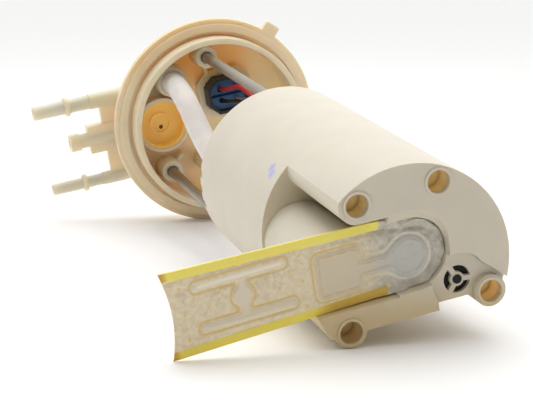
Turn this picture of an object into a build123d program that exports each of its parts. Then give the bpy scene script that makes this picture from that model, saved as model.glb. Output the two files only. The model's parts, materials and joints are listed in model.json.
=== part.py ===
from build123d import *
import math
import os

# Fuel pump module, lying on its side with its axis horizontal.
#
# The module frame: x and y span the cross-section as seen from the reservoir's bottom end, z is
# the depth into the tank below the flange's seat face. h is a height above the reservoir's bottom.
# The finished pieces are turned by ROLL about the axis and laid down, so that in the row frame the
# axis runs along Y, the cover is at +Y, the reservoir's bottom faces -Y and +Z is up.

# ------------------------------------------------------------------ overall sizes (mm)
ROLL = 14.0
BOTTOM_DEPTH = 343.0
STROKE = 50.0
SEAT_GAP = 0.3
RUNNING_FIT = 0.05
LOOSE_FIT = 0.4

# cover
FLANGE_R = 69.5
FLANGE_TOP = -7.0
FLANGE_UNDER = -2.0
SEAT_RING_R = 66.5
GROOVE_R = 61.2
GROOVE_DEPTH = 3.0
COLLAR_R = 58.5
COLLAR_WALL = 3.8
COLLAR_LIP = 11.6
COVER_FLOOR = -14.0
COVER_PLATE = 3.0
TAB_ANGLE = 47.7
TAB_WIDTH = 10.5
TAB_REACH = 6.5

# ports on the cover's outside
PORT_AXIS_Z = -22.5
PORT_SPREAD = 27.3
FEED_TIP_X = -118.5
RETURN_TIP_X = -115.7
FEED_R = 4.76
RETURN_R = 3.97
FEED_BORE_R = 3.4
RETURN_BORE_R = 2.8
BEAD_SETBACK = 23.0
BEAD_RISE = 1.9
BEAD_LENGTH = 3.4
VAPOUR_Y = 1.6
VAPOUR_TIP_X = -98.0
VAPOUR_R = 5.0
VAPOUR_BULB_R = 6.1
VAPOUR_BULB_LENGTH = 7.0
VAPOUR_BORE_R = 3.0
WEB_REACH_X = -74.0
WEB_BLOCK_X = -85.0
WEB_BLOCK_HALF = 9.4
WEB_THICK = 5.0

# inside of the cover
HOSE_PORT = (-25.4, 33.0)
HOSE_PORT_R = 7.9
HOSE_PORT_END = 0.0
NIPPLE_R = 4.4
NIPPLE_BORE_R = 2.9
NIPPLE_LENGTH = 11.0
RETURN_PORT = (-12.0, -27.3)
RETURN_STUB_END = 8.0
VALVE_POCKET = (-35.9, 4.3)
POCKET_R = 16.4
POCKET_WALL = 2.2
POCKET_END = -4.5
PLUG = (11.7, 16.6)
PLUG_HALF_X = 14.6
PLUG_HALF_Y = 12.3
PLUG_CORNER = 6.0
PLUG_WALL = 2.0
PLUG_END = 2.0
PLUG_FRAME = 4.2
PLUG_FRAME_END = -8.0
SOCKET_HALF_X = 13.0
SOCKET_HALF_Y = 9.0
SOCKET_TOP = -36.0

# guide rods, their bosses on the cover and their columns in the reservoir
ROD_UPPER = (0.2, 45.0)
ROD_LOWER = (-36.3, -27.1)
ROD_R = 3.3
ROD_BOSS_R = 7.2
ROD_BOSS_END = 2.0
ROD_SOCKET_DEPTH = 13.0
ROD_TAIL = 5.0
COLUMN_R = 6.7
COLUMN_BORE_R = 4.9
COLUMN_DROP = 6.0
COLUMN_FLOOR_H = 80.0
BUSH_LENGTH = 12.0
STOP_RING_R = 4.6
STOP_RING = 2.0
SPRING_WIRE_R = 0.55
SPRING_TURNS = 11

# reservoir
RES_R = 52.0
RES_WALL = 2.2
RES_H = 195.0
COLUMN_TOP_H = RES_H - COLUMN_DROP
ROD_END_H = COLUMN_TOP_H - BUSH_LENGTH - ROD_TAIL
STEP_H = 76.0
PAD_THICK = 2.6
FLAT_Y = -25.7
FLAT_RIGHT_Y = -23.0
FLAT_JOG_X = 12.0
BOSSES = {"a": (-23.0, 37.5), "b": (19.4, 39.4), "c": (39.4, -22.6), "d": (-35.0, -24.7)}
BOSS_HOLE_R = 5.8
BOSS_WALL = 2.4
BOSS_DEPTH = 13.0
BOSS_LIP = 0.6
PAD_END_R = 9.5
CHANNEL_CENTRE = (2.9, 5.5)
CHANNEL_R = 18.0
CHANNEL_SHIFT = 5.2
CHANNEL_SLOPE_H = 4.0
CHANNEL_H = 10.0
RECESS_RIGHT_X = -8.0
RECESS_LOW_Y = -13.5
VALVE_CENTRE = (24.0, -13.4)
VALVE_RECESS_R = 14.5
VALVE_RECESS_H = 3.6
VALVE_PLATE = 2.4
VALVE_SLOT_OUT = 7.1
VALVE_SLOT_IN = 3.7
VALVE_STEM_R = 2.3
VALVE_RIB_ANGLE = 114.0
VALVE_RIB = 2.6
UMBRELLA_R = 7.4
NOTCH_ANGLES = (167.0, 177.0, 187.0, -13.0, -3.0)
NOTCH_WIDTH = 4.2
NOTCH_DEPTH = 4.0

# lid inside the reservoir's rim
LID_DROP = 13.0
LID_H = RES_H - LID_DROP
LID_THICK = 2.4
LEDGE_ANGLES = (150.0, 25.0, -4.0)
LEDGE_SIZE = 4.0

# feed hose
HOSE_R = 7.0
HOSE_BORE_R = NIPPLE_R + RUNNING_FIT
HOSE_GRIP = 11.0
HOSE_POINTS = ((-25.4, 33.0, 320.0), (-31.4, 10.0, 250.0), (-31.0, 3.0, 208.0), (-30.6, 0.5, 166.0))

# pump, in its sleeve beside the reservoir's axis
PUMP = (-30.6, 0.5)
SLEEVE_R = 20.4
SLEEVE_WALL = 1.8
SLEEVE_FOOT_H = 11.0
SLEEVE_FLOOR = 2.6
CAN_R = 17.2
CAN_WALL = 1.0
CAN_LOW_H = 22.0
CAN_LENGTH = 84.0
CAN_HIGH_H = CAN_LOW_H + CAN_LENGTH
INLET_OFFSET = (-5.5, 5.8)
INLET_R = 4.2
INLET_BORE_R = 2.9
INLET_TIP_H = 8.6
CAP_SPIGOT = 5.0
IMPELLER_R = 14.8
IMPELLER_THICK = 4.0
IMPELLER_VANES = 24
IMPELLER_H = 27.6
SHAFT_R = 2.0
ARMATURE_R = 11.8
ARMATURE_LOW_H = 43.0
BRUSH_ROOM = 26.0
ARMATURE_HIGH_H = CAN_HIGH_H - BRUSH_ROOM
MAGNET_THICK = 3.4
MAGNET_SPAN = 118.0
COMMUTATOR_R = 7.6
WINDING_RISE = 2.6
COMMUTATOR_H = ARMATURE_HIGH_H + WINDING_RISE
COMMUTATOR_THICK = 4.6
BRUSH_SIZE = 4.6
BRUSH_OFFSET = 5.2
BRUSH_LENGTH = 8.0
OUTLET_OFFSET = (0.0, 0.0)
OUTLET_R = HOSE_BORE_R - SEAT_GAP
CAP_RISE = 7.0
CAP_TOP_H = CAN_HIGH_H + CAP_RISE
RETAINER_FOOT = 3.0
SLEEVE_TOP_H = CAP_TOP_H + RETAINER_FOOT
OUTLET_LENGTH = 20.0
OUTLET_TIP_H = CAP_TOP_H + OUTLET_LENGTH
OUTLET_BORE_R = 3.0
CHECK_RISE = 5.0
CHECK_SEAT_H = CAP_TOP_H + CHECK_RISE
CHECK_BALL_R = 2.9
CHECK_LIFT = 2.0
BLADE = (6.3, 0.8, 9.0)
BLADE_AT = 11.0
BLADE_ANGLE = 50.0

# strainer
STRAINER_TIP_X = -123.0
STRAINER_TIP_TOP = 28.3
STRAINER_TIP_LOW = -15.3
STRAINER_NECK_X = -26.0
STRAINER_NECK_TOP = 26.0
STRAINER_NECK_LOW = -12.3
STRAINER_END = (2.9, 4.8)
STRAINER_END_R = 15.0
STRAINER_TIP_H = 1.2
STRAINER_END_H = 7.0
BAG_THICK = 3.8
BAG_SKIN = 0.8
BAG_TIP_SAG = 3.0
BAND_WIDTH = 4.2
BAND_THICK = 1.4
FRAME_THICK = 1.4
FRAME_BAR = (47.0, 3.0)
FRAME_BARS_Y = (18.0, -2.3)
FRAME_RING_AT = (38.2, 7.9)
FRAME_RING_R = (5.6, 3.6)
FRAME_DISC_R = 10.5
PLATE_HALF = (14.0, 12.5)
FITTING_WALL = 1.2

# level sender on the reservoir's flat
SENDER_X = 8.0
SENDER_H = 122.0
SENDER_SIZE = (32.0, 8.0, 56.0)
PIVOT_DROP = 14.0
PIVOT_H = SENDER_H - PIVOT_DROP
PIVOT_R = 3.0
HUB_R = 7.5
HUB_THICK = 5.0
ARM_R = 1.1
ARM_LENGTH = 130.0
ARM_REST_ANGLE = 66.0
ARM_BEND_R = 5.0
FLOAT_R = 9.0
FLOAT_LENGTH = 24.0
CARD_SIZE = (24.0, 1.0, 30.0)

# wires
WIRE_R = 1.4
WIRE_PITCH = (5.4, 3.9)

UPRIGHT = (Align.CENTER, Align.CENTER, Align.MIN)
BIG = 400.0
LAID = Plane(
    origin=(0, 0, 0),
    x_dir=(math.cos(math.radians(ROLL)), 0, math.sin(math.radians(ROLL))),
    z_dir=(0, -1, 0),
).location


def depth(h):
    """Depth below the flange seat of a height above the reservoir's bottom."""
    return BOTTOM_DEPTH - h


def bar(xy, z0, z1, r):
    """Round bar parallel to the module's axis."""
    return Pos(xy[0], xy[1], min(z0, z1)) * Cylinder(r, abs(z1 - z0), align=UPRIGHT)


def tube(xy, z0, z1, r_out, r_in):
    return bar(xy, z0, z1, r_out) - bar(xy, min(z0, z1) - 1, max(z0, z1) + 1, r_in)


def block(x0, x1, y0, y1, z0, z1):
    low = (min(x0, x1), min(y0, y1), min(z0, z1))
    size = (abs(x1 - x0), abs(y1 - y0), abs(z1 - z0))
    return Pos(*low) * Box(*size, align=(Align.MIN, Align.MIN, Align.MIN))


def prism(sketch, z0, z1):
    return extrude(Pos(0, 0, min(z0, z1)) * sketch, amount=abs(z1 - z0))


def cross_bar(x0, x1, y, z, r):
    """Round bar parallel to x."""
    return Pos(min(x0, x1), y, z) * Rot(0, 90, 0) * Cylinder(r, abs(x1 - x0), align=UPRIGHT)


def polar(r, angle):
    return (r * math.cos(math.radians(angle)), r * math.sin(math.radians(angle)))


def area(x0, x1, y0, y1):
    """Rectangle sketch between two corners."""
    return Pos((x0 + x1) / 2, (y0 + y1) / 2) * Rectangle(abs(x1 - x0), abs(y1 - y0))


def octagon(half_x, half_y, corner):
    return chamfer(Rectangle(2 * half_x, 2 * half_y).vertices(), corner)


# ------------------------------------------------------------------ cover
def cover():
    plate_top = COVER_FLOOR - COVER_PLATE
    flange = Cylinder(FLANGE_R, FLANGE_UNDER - FLANGE_TOP, align=UPRIGHT)
    body = Pos(0, 0, FLANGE_TOP) * flange
    body += tube((0, 0), FLANGE_UNDER, 0, SEAT_RING_R, GROOVE_R)
    body += bar((0, 0), plate_top, COLLAR_LIP, COLLAR_R)
    body -= tube((0, 0), -GROOVE_DEPTH, 0, GROOVE_R, COLLAR_R)
    body = chamfer(body.edges().group_by(Axis.Z)[0], 1.6)
    body += lock_tab()
    body -= bar((0, 0), COVER_FLOOR, COLLAR_LIP + 1, COLLAR_R - COLLAR_WALL)
    body += inner_bosses(plate_top)
    body += outer_ports(plate_top)
    body -= port_bores(plate_top)
    body -= plug_cutout()
    return body


def lock_tab():
    reach = FLANGE_R + TAB_REACH
    tab = block(FLANGE_R - 3, reach, -TAB_WIDTH / 2, TAB_WIDTH / 2, FLANGE_TOP, FLANGE_UNDER)
    tab = fillet(tab.edges().filter_by(Axis.Z).group_by(Axis.X)[-1], 1.5)
    return Rot(0, 0, TAB_ANGLE) * tab


def inner_bosses(plate_top):
    """Rod bosses, hose port, return stub, valve pocket and the raised frame of the plug."""
    room = bar((0, 0), COVER_FLOOR - 1, COLLAR_LIP, COLLAR_R - COLLAR_WALL / 2)
    bosses = bar(HOSE_PORT, COVER_FLOOR, HOSE_PORT_END, HOSE_PORT_R)
    bosses += bar(HOSE_PORT, HOSE_PORT_END, HOSE_PORT_END + NIPPLE_LENGTH, NIPPLE_R)
    bosses += bar(RETURN_PORT, COVER_FLOOR, RETURN_STUB_END, RETURN_R + 1.2)
    bosses += tube(VALVE_POCKET, COVER_FLOOR, POCKET_END, POCKET_R + POCKET_WALL, POCKET_R)
    for rod in (ROD_UPPER, ROD_LOWER):
        bosses += Pos(rod[0], rod[1], COVER_FLOOR) * Cone(
            ROD_BOSS_R + 0.8, ROD_BOSS_R, ROD_BOSS_END - COVER_FLOOR, align=UPRIGHT
        )
        inward = math.degrees(math.atan2(-rod[1], -rod[0]))
        rib = block(0, ROD_BOSS_R + 7, -1.0, 1.0, COVER_FLOOR, COVER_FLOOR + 8)
        bosses += Pos(rod[0], rod[1], 0) * Rot(0, 0, inward) * rib
    frame = octagon(PLUG_HALF_X + PLUG_FRAME, PLUG_HALF_Y + PLUG_FRAME, PLUG_CORNER + 1.5)
    bosses += prism(Pos(*PLUG) * frame, COVER_FLOOR, PLUG_FRAME_END)
    return bosses & room


def outer_ports(plate_top):
    """Feed, return and vapour lines with the web that joins them, on the cover's outside."""
    ports = barbed_port(FEED_TIP_X, HOSE_PORT[0], PORT_SPREAD, FEED_R)
    ports += barbed_port(RETURN_TIP_X, RETURN_PORT[0], -PORT_SPREAD, RETURN_R)
    ports += cross_bar(VAPOUR_TIP_X, VALVE_POCKET[0], VAPOUR_Y, PORT_AXIS_Z, VAPOUR_R)
    bulb_end = VAPOUR_TIP_X + VAPOUR_BULB_LENGTH
    ports += cross_bar(VAPOUR_TIP_X, bulb_end, VAPOUR_Y, PORT_AXIS_Z, VAPOUR_BULB_R)
    low = PORT_AXIS_Z - WEB_THICK / 2
    high = PORT_AXIS_Z + WEB_THICK / 2
    ports += block(WEB_REACH_X, -20, -PORT_SPREAD, PORT_SPREAD, low, high)
    half = WEB_BLOCK_HALF
    ports += block(WEB_BLOCK_X, -30, VAPOUR_Y - half, VAPOUR_Y + half, low - 3, high + 1.5)
    skirt = Circle(COLLAR_R) & area(-COLLAR_R, -18, -COLLAR_R, COLLAR_R)
    ports += prism(skirt, low, plate_top)
    ports += bar(HOSE_PORT, PORT_AXIS_Z - FEED_R - 1.5, plate_top, 8.0)
    ports += bar(RETURN_PORT, PORT_AXIS_Z - RETURN_R - 1.5, plate_top, 7.0)
    dome = bar(VALVE_POCKET, PORT_AXIS_Z - 8, plate_top, POCKET_R)
    ports += fillet(dome.edges().group_by(Axis.Z)[0], 3.0)
    tower = Pos(*PLUG) * RectangleRounded(2 * SOCKET_HALF_X + 8, 2 * SOCKET_HALF_Y + 8, 3)
    ports += prism(tower, plate_top - 3, plate_top)
    for angle in (-75.0, -40.0, -5.0):
        rib = block(20, COLLAR_R - 1, -1.2, 1.2, plate_top - 3.5, plate_top)
        ports += Rot(0, 0, angle) * rib
    return ports


def barbed_port(tip_x, root_x, y, r):
    """Straight tube with a rounded quick-connect bead and a chamfered tip."""
    port = cross_bar(tip_x, root_x, y, PORT_AXIS_Z, r)
    port = chamfer(port.edges().group_by(Axis.X)[0], 0.8)
    start = tip_x + BEAD_SETBACK - BEAD_LENGTH / 2
    bead = cross_bar(start, start + BEAD_LENGTH, y, PORT_AXIS_Z, r + BEAD_RISE)
    port += fillet(bead.edges().filter_by(GeomType.CIRCLE), BEAD_LENGTH / 2 - 0.3)
    collar_start = WEB_REACH_X - 6
    port += cross_bar(collar_start, root_x, y, PORT_AXIS_Z, r + 0.6)
    return port


def port_bores(plate_top):
    bores = cross_bar(FEED_TIP_X - 1, HOSE_PORT[0], PORT_SPREAD, PORT_AXIS_Z, FEED_BORE_R)
    nipple_end = HOSE_PORT_END + NIPPLE_LENGTH + 1
    bores += bar(HOSE_PORT, PORT_AXIS_Z, nipple_end, NIPPLE_BORE_R)
    link = block(-1.5, 1.5, PORT_SPREAD, HOSE_PORT[1], PORT_AXIS_Z - 2, PORT_AXIS_Z + 2)
    bores += Pos(HOSE_PORT[0], 0, 0) * link
    bores += cross_bar(RETURN_TIP_X - 1, RETURN_PORT[0], -PORT_SPREAD, PORT_AXIS_Z, RETURN_BORE_R)
    bores += bar(RETURN_PORT, PORT_AXIS_Z, RETURN_STUB_END + 1, RETURN_BORE_R)
    bores += cross_bar(VAPOUR_TIP_X - 1, VALVE_POCKET[0], VAPOUR_Y, PORT_AXIS_Z, VAPOUR_BORE_R)
    bores += bar((VALVE_POCKET[0], VAPOUR_Y), PORT_AXIS_Z, COVER_FLOOR + 1, VAPOUR_BORE_R)
    for rod in (ROD_UPPER, ROD_LOWER):
        bores += bar(rod, ROD_BOSS_END - ROD_SOCKET_DEPTH, ROD_BOSS_END + 1, ROD_R)
        bores += bar(rod, ROD_BOSS_END - 2.0, ROD_BOSS_END + 1, ROD_R + 0.9)
    return bores


def plug_cutout():
    """Through opening of the pass-through connector."""
    hole = Pos(*PLUG) * Rectangle(2 * SOCKET_HALF_X, 2 * SOCKET_HALF_Y)
    cut = prism(hole, COVER_FLOOR - COVER_PLATE - 4, PLUG_FRAME_END + 1)
    seat = Pos(*PLUG) * octagon(PLUG_HALF_X, PLUG_HALF_Y, PLUG_CORNER)
    return cut + prism(seat, COVER_FLOOR, PLUG_FRAME_END + 1)


def vent_valve_cap():
    """Thin translucent cup that closes the valve pocket."""
    r = POCKET_R
    cup = bar(VALVE_POCKET, COVER_FLOOR, POCKET_END - 0.6, r)
    cup -= bar(VALVE_POCKET, COVER_FLOOR + 1.6, POCKET_END, r - 1.8)
    cup += tube(VALVE_POCKET, COVER_FLOOR + 1.0, COVER_FLOOR + 3.2, 7.5, 6.0)
    cup -= bar((VALVE_POCKET[0], VAPOUR_Y), COVER_FLOOR - 1, COVER_FLOOR + 2, 1.5)
    return cup


# ------------------------------------------------------------------ pass-through connector
def pass_through_connector():
    """Black shell: an octagonal socket inside the tank and a box socket outside."""
    inner = octagon(PLUG_HALF_X, PLUG_HALF_Y, PLUG_CORNER)
    pocket = octagon(PLUG_HALF_X - PLUG_WALL, PLUG_HALF_Y - PLUG_WALL, PLUG_CORNER - 0.8)
    shell = prism(inner, COVER_FLOOR, PLUG_END) - prism(pocket, COVER_FLOOR + 4, PLUG_END + 1)
    outside = RectangleRounded(2 * SOCKET_HALF_X, 2 * SOCKET_HALF_Y, 2.5)
    mouth = RectangleRounded(2 * SOCKET_HALF_X - 4, 2 * SOCKET_HALF_Y - 4, 1.5)
    through = RectangleRounded(2 * SOCKET_HALF_X, 2 * SOCKET_HALF_Y, 2.5)
    shell += prism(through, COVER_FLOOR - COVER_PLATE - 3, COVER_FLOOR)
    shell += prism(outside, SOCKET_TOP, COVER_FLOOR - COVER_PLATE - 3)
    shell -= prism(mouth, SOCKET_TOP - 1, COVER_FLOOR - COVER_PLATE - 2)
    latch = block(-3, 3, SOCKET_HALF_Y, SOCKET_HALF_Y + 2.2, SOCKET_TOP + 3, SOCKET_TOP + 8)
    shell += latch
    return Pos(PLUG[0], PLUG[1], 0) * shell


def wire_seats():
    """Centres of the four wires and their terminals in the connector, by wire."""
    places = [
        (PLUG[0] + sx * WIRE_PITCH[0], PLUG[1] + sy * WIRE_PITCH[1])
        for sy in (1, -1)
        for sx in (-1, 1)
    ]
    return dict(zip(WIRE_ROUTES, places))


def connector_lock():
    """Blue insert that locks the wires' terminals."""
    gap = PLUG_WALL + 0.15
    top = octagon(PLUG_HALF_X - gap, PLUG_HALF_Y - gap, PLUG_CORNER - 0.8)
    lock = prism(top, COVER_FLOOR + 4, PLUG_END - 3.5)
    relief = block(-PLUG_HALF_X, PLUG_HALF_X, -1.0, 1.0, PLUG_END - 6.5, PLUG_END)
    lock -= relief
    lock = Pos(PLUG[0], PLUG[1], 0) * lock
    for seat in wire_seats().values():
        lock -= bar(seat, COVER_FLOOR + 3, PLUG_END, WIRE_R + 0.35)
    return lock


def connector_terminals():
    """Four blades that stand in the outer socket."""
    top = SOCKET_TOP + 5
    base = COVER_FLOOR - COVER_PLATE - 2
    blades = [
        block(x - 1.4, x + 1.4, y - 0.4, y + 0.4, top, base)
        for x, y in wire_seats().values()
    ]
    return blades


# ------------------------------------------------------------------ guide rods
def guide_rod(xy):
    rod = bar(xy, ROD_BOSS_END - ROD_SOCKET_DEPTH, depth(ROD_END_H), ROD_R)
    return chamfer(rod.edges().group_by(Axis.Z)[-1], 0.6)


def rod_stop_rings():
    """Rings fixed to the rods' ends: they meet the bushes when the module is fully extended."""
    top = depth(COLUMN_TOP_H - BUSH_LENGTH) + SEAT_GAP
    return [tube(rod, top, top + STOP_RING, STOP_RING_R, ROD_R) for rod in (ROD_UPPER, ROD_LOWER)]


def guide_bushes():
    """Bushes pressed into the tops of the reservoir's columns."""
    bushes = []
    for rod in (ROD_UPPER, ROD_LOWER):
        bush = bar(rod, depth(COLUMN_TOP_H), depth(COLUMN_TOP_H - BUSH_LENGTH), COLUMN_BORE_R)
        bush -= bar(rod, depth(RES_H + 5), depth(0), ROD_R + RUNNING_FIT)
        bushes.append(bush)
    return bushes


def return_spring(xy):
    """Coil spring below the rod's end, standing on the column's floor."""
    ring_end = COLUMN_TOP_H - BUSH_LENGTH - SEAT_GAP - STOP_RING
    length = ring_end - COLUMN_FLOOR_H - 2 * SEAT_GAP
    mean_r = STOP_RING_R - SPRING_WIRE_R
    rise = length - 2 * SPRING_WIRE_R
    coil = Helix(pitch=rise / SPRING_TURNS, height=rise, radius=mean_r)
    profile = Plane(origin=coil @ 0, z_dir=coil % 0) * RegularPolygon(SPRING_WIRE_R, 6)
    wire = sweep(profile, path=coil)
    start = depth(ring_end) + SEAT_GAP + SPRING_WIRE_R
    return Pos(xy[0], xy[1], start) * wire


# ------------------------------------------------------------------ reservoir
def upper_section(inset=0.0):
    """Cross-section above the step: a circle with a flat for the level sender."""
    return Circle(RES_R - inset) - area(-BIG, BIG, -BIG, FLAT_Y + inset)


def deep_recess(grow=0.0):
    """Open space beside the strainer, from the bottom up to the step."""
    end = BOSSES["a"]
    top_y = end[1] - PAD_END_R
    low = area(-BIG, RECESS_RIGHT_X + grow, RECESS_LOW_Y - grow, top_y + grow)
    side = area(-BIG, end[0], RECESS_LOW_Y, BIG)
    return low + (side - Pos(*end) * Circle(PAD_END_R - grow))


def lower_cut(grow=0.0):
    """What the cross-section loses below the step: it leaves a C open where the strainer is."""
    return deep_recess(grow) + area(FLAT_JOG_X - grow, BIG, -BIG, FLAT_RIGHT_Y + grow)


def corner_lobes():
    """Full round lobes of the two corner bosses below the step."""
    lobe = Circle(BOSS_HOLE_R + BOSS_WALL)
    return Pos(*BOSSES["c"]) * lobe + Pos(*BOSSES["d"]) * lobe


def channel_outline(shift, grow=0.0):
    """U-shaped outline, open to the left."""
    x, y = CHANNEL_CENTRE
    r = CHANNEL_R + grow
    low = y - r
    mouth = -(RES_R + CHANNEL_R)
    side = r * math.cos(math.radians(45))
    with BuildSketch() as u:
        with BuildLine():
            Line((mouth, y + shift + r), (x, y + shift + r))
            ThreePointArc((x, y + shift + r), (x + side, y + shift + side), (x + r, y + shift))
            Line((x + r, y + shift), (x + r, y))
            ThreePointArc((x + r, y), (x + side, y - side), (x, low))
            Line((x, low), (mouth, low))
            Line((mouth, low), (mouth, y + shift + r))
        make_face()
    return u.sketch


def channel_cut():
    """Channel of the strainer's inner end: a sloped shoulder above a straight-walled bed."""
    mouth = Pos(0, 0, depth(-0.01)) * channel_outline(CHANNEL_SHIFT)
    bed = Pos(0, 0, depth(CHANNEL_SLOPE_H)) * channel_outline(0.01)
    shoulder = loft([mouth.face(), bed.face()], ruled=True)
    return shoulder + prism(channel_outline(0.01), depth(CHANNEL_SLOPE_H), depth(CHANNEL_H))


def valve_recess():
    """Sunken field round the umbrella valve, open to the wall beside the corner boss."""
    field = Pos(*VALVE_CENTRE) * Circle(VALVE_RECESS_R)
    edge = FLAT_JOG_X - 0.5
    return field + Polygon((edge, -14), (edge, -60), (56, -60), (54, -22.1), (33.4, -3.2), align=None)


def valve_grille():
    """Three arc slots and the stem hole of the umbrella valve."""
    ring_slots = Circle(VALVE_SLOT_OUT) - Circle(VALVE_SLOT_IN)
    for k in range(3):
        rib = area(0, VALVE_SLOT_OUT + 1, -VALVE_RIB / 2, VALVE_RIB / 2)
        ring_slots -= Rot(0, 0, VALVE_RIB_ANGLE + 120 * k) * rib
    ring_slots += Circle(VALVE_STEM_R)
    return Pos(*VALVE_CENTRE) * ring_slots


def reservoir_shell():
    step = depth(STEP_H)
    body = prism(upper_section(), depth(RES_H), depth(0))
    body -= prism(lower_cut(), step, depth(-1))
    body += prism(corner_lobes(), step, depth(0))
    body += bar(ROD_LOWER, depth(RES_H), step, COLUMN_R)
    body += bar(PUMP, step, depth(SLEEVE_FOOT_H), SLEEVE_R)

    cavity = prism(upper_section(RES_WALL), depth(RES_H + 1), depth(STEP_H + PAD_THICK))
    low = prism(upper_section(RES_WALL), depth(STEP_H + PAD_THICK), depth(PAD_THICK))
    low -= prism(lower_cut(RES_WALL), depth(STEP_H + PAD_THICK + 1), depth(0))
    for centre in BOSSES.values():
        low -= bar(centre, depth(BOSS_DEPTH + RES_WALL), depth(0), BOSS_HOLE_R + BOSS_WALL)
    bed_top = CHANNEL_H + RES_WALL
    low -= prism(channel_outline(CHANNEL_SHIFT, RES_WALL), depth(bed_top), depth(0))
    low -= prism(valve_recess(), depth(VALVE_RECESS_H + VALVE_PLATE), depth(0))
    body -= cavity + low

    for rod in (ROD_UPPER, ROD_LOWER):
        body += bar(rod, depth(COLUMN_TOP_H), step, COLUMN_R)
    body += bar(PUMP, depth(SLEEVE_TOP_H), step, SLEEVE_R)
    for angle in LEDGE_ANGLES:
        ledge = block(RES_R - RES_WALL - LEDGE_SIZE, RES_R - 0.5, -3, 3, depth(LID_H), depth(LID_H - 6))
        body += Rot(0, 0, angle) * ledge
    body -= bar(PUMP, depth(RES_H), depth(SLEEVE_FOOT_H + SLEEVE_FLOOR), SLEEVE_R - SLEEVE_WALL)
    inlet = (PUMP[0] + INLET_OFFSET[0], PUMP[1] + INLET_OFFSET[1])
    body -= bar(inlet, depth(SLEEVE_FOOT_H + 10), depth(0), INLET_R + FITTING_WALL + 0.5)
    for rod in (ROD_UPPER, ROD_LOWER):
        body -= bar(rod, depth(RES_H), depth(COLUMN_FLOOR_H), COLUMN_BORE_R)

    for centre in BOSSES.values():
        body += bar(centre, depth(BOSS_DEPTH), depth(-BOSS_LIP), BOSS_HOLE_R + 1.5)
    body -= channel_cut()
    sunk = prism(valve_recess(), depth(VALVE_RECESS_H), depth(-2))
    sunk -= bar(BOSSES["c"], depth(VALVE_RECESS_H), depth(-2), BOSS_HOLE_R + BOSS_WALL)
    body -= sunk
    for centre in BOSSES.values():
        body -= bar(centre, depth(BOSS_DEPTH), depth(-2), BOSS_HOLE_R)
    body -= prism(valve_grille(), depth(VALVE_RECESS_H + 6), depth(0))
    for angle in NOTCH_ANGLES:
        notch = block(RES_R - 6, RES_R + 2, -NOTCH_WIDTH / 2, NOTCH_WIDTH / 2,
                      depth(RES_H + 1), depth(RES_H - NOTCH_DEPTH))
        body -= Rot(0, 0, angle) * notch
    return body


def reservoir_lid():
    """Slotted plate below the rim, with hooks that stand in the rim's notches."""
    inset = RES_WALL + LOOSE_FIT
    plate = upper_section(inset)
    plate -= Pos(*PUMP) * Circle(12.5)
    plate -= Pos(14, 8) * RectangleRounded(30, 26, 5)
    plate -= area(-24, 0, -8, 14)
    for rod in (ROD_UPPER, ROD_LOWER):
        plate -= Pos(*rod) * Circle(COLUMN_R + LOOSE_FIT)
    for k in range(3):
        plate -= Pos(14, -9 - 5 * k) * SlotOverall(34, 2.6)
    lid = prism(plate, depth(LID_H + LID_THICK), depth(LID_H))
    for angle in NOTCH_ANGLES:
        half = NOTCH_WIDTH / 2 - 0.4
        post = block(RES_R - inset - 2.2, RES_R - inset, -half, half,
                     depth(RES_H - 0.8), depth(LID_H))
        hook = block(RES_R - inset - 2.2, RES_R - 0.4, -half, half,
                     depth(RES_H - 0.8), depth(RES_H - NOTCH_DEPTH + 0.4))
        lid += Rot(0, 0, angle) * (post + hook)
    return lid


def umbrella_valve():
    """Rubber disc on the grille's inner face with a stem through its middle."""
    seat = VALVE_RECESS_H + VALVE_PLATE
    disc = bar(VALVE_CENTRE, depth(seat + 1.6), depth(seat), UMBRELLA_R)
    disc = chamfer(disc.edges().group_by(Axis.Z)[0], 0.9)
    stem = bar(VALVE_CENTRE, depth(seat), depth(VALVE_RECESS_H - 0.6), VALVE_STEM_R - RUNNING_FIT)
    return disc + stem


# ------------------------------------------------------------------ strainer
def bag_plane():
    """Plane of the strainer: it rises from its inner end to its tip."""
    run = STRAINER_END[0] - STRAINER_TIP_X
    slope = math.degrees(math.atan2(STRAINER_END_H - STRAINER_TIP_H, run))
    origin = (STRAINER_TIP_X, 0, depth(STRAINER_TIP_H))
    tilt = math.radians(slope)
    return Plane(origin=origin, x_dir=(math.cos(tilt), 0, -math.sin(tilt)),
                 z_dir=(math.sin(tilt), 0, math.cos(tilt)))


def bag_outline(inset=0.0):
    """Outline in the bag's plane: straight sides, a hollowed tip and a round inner end."""
    tip = inset
    neck = STRAINER_NECK_X - STRAINER_TIP_X
    end = STRAINER_END[0] - STRAINER_TIP_X
    r = STRAINER_END_R - inset
    top = STRAINER_TIP_TOP - inset
    low = STRAINER_TIP_LOW + inset
    neck_top = STRAINER_NECK_TOP - inset
    neck_low = STRAINER_NECK_LOW + inset
    middle = (top + low) / 2
    y = STRAINER_END[1]
    with BuildSketch() as outline:
        with BuildLine():
            Line((tip, top), (neck, neck_top))
            Line((neck, neck_top), (end, y + r))
            ThreePointArc((end, y + r), (end + r, y), (end, y - r))
            Line((end, y - r), (neck, neck_low))
            Line((neck, neck_low), (tip, low))
            ThreePointArc((tip, low), (tip + BAG_TIP_SAG, middle), (tip, top))
        make_face()
    return outline.sketch


def inlet_xy():
    """Centre of the suction fitting in the bag's plane."""
    x = PUMP[0] + INLET_OFFSET[0] - STRAINER_TIP_X
    return (x, PUMP[1] + INLET_OFFSET[1])


def band_strip(side):
    """Outline of one welded edge band, along a straight side of the bag."""
    neck = STRAINER_NECK_X + 12 - STRAINER_TIP_X
    if side > 0:
        y0, y1 = STRAINER_TIP_TOP, STRAINER_NECK_TOP - 2.8
    else:
        y0, y1 = STRAINER_TIP_LOW, STRAINER_NECK_LOW + 1.1
    width = -side * BAND_WIDTH
    return Polygon((0, y0), (0, y0 + width), (neck, y1 + width), (neck, y1), align=None)


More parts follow.
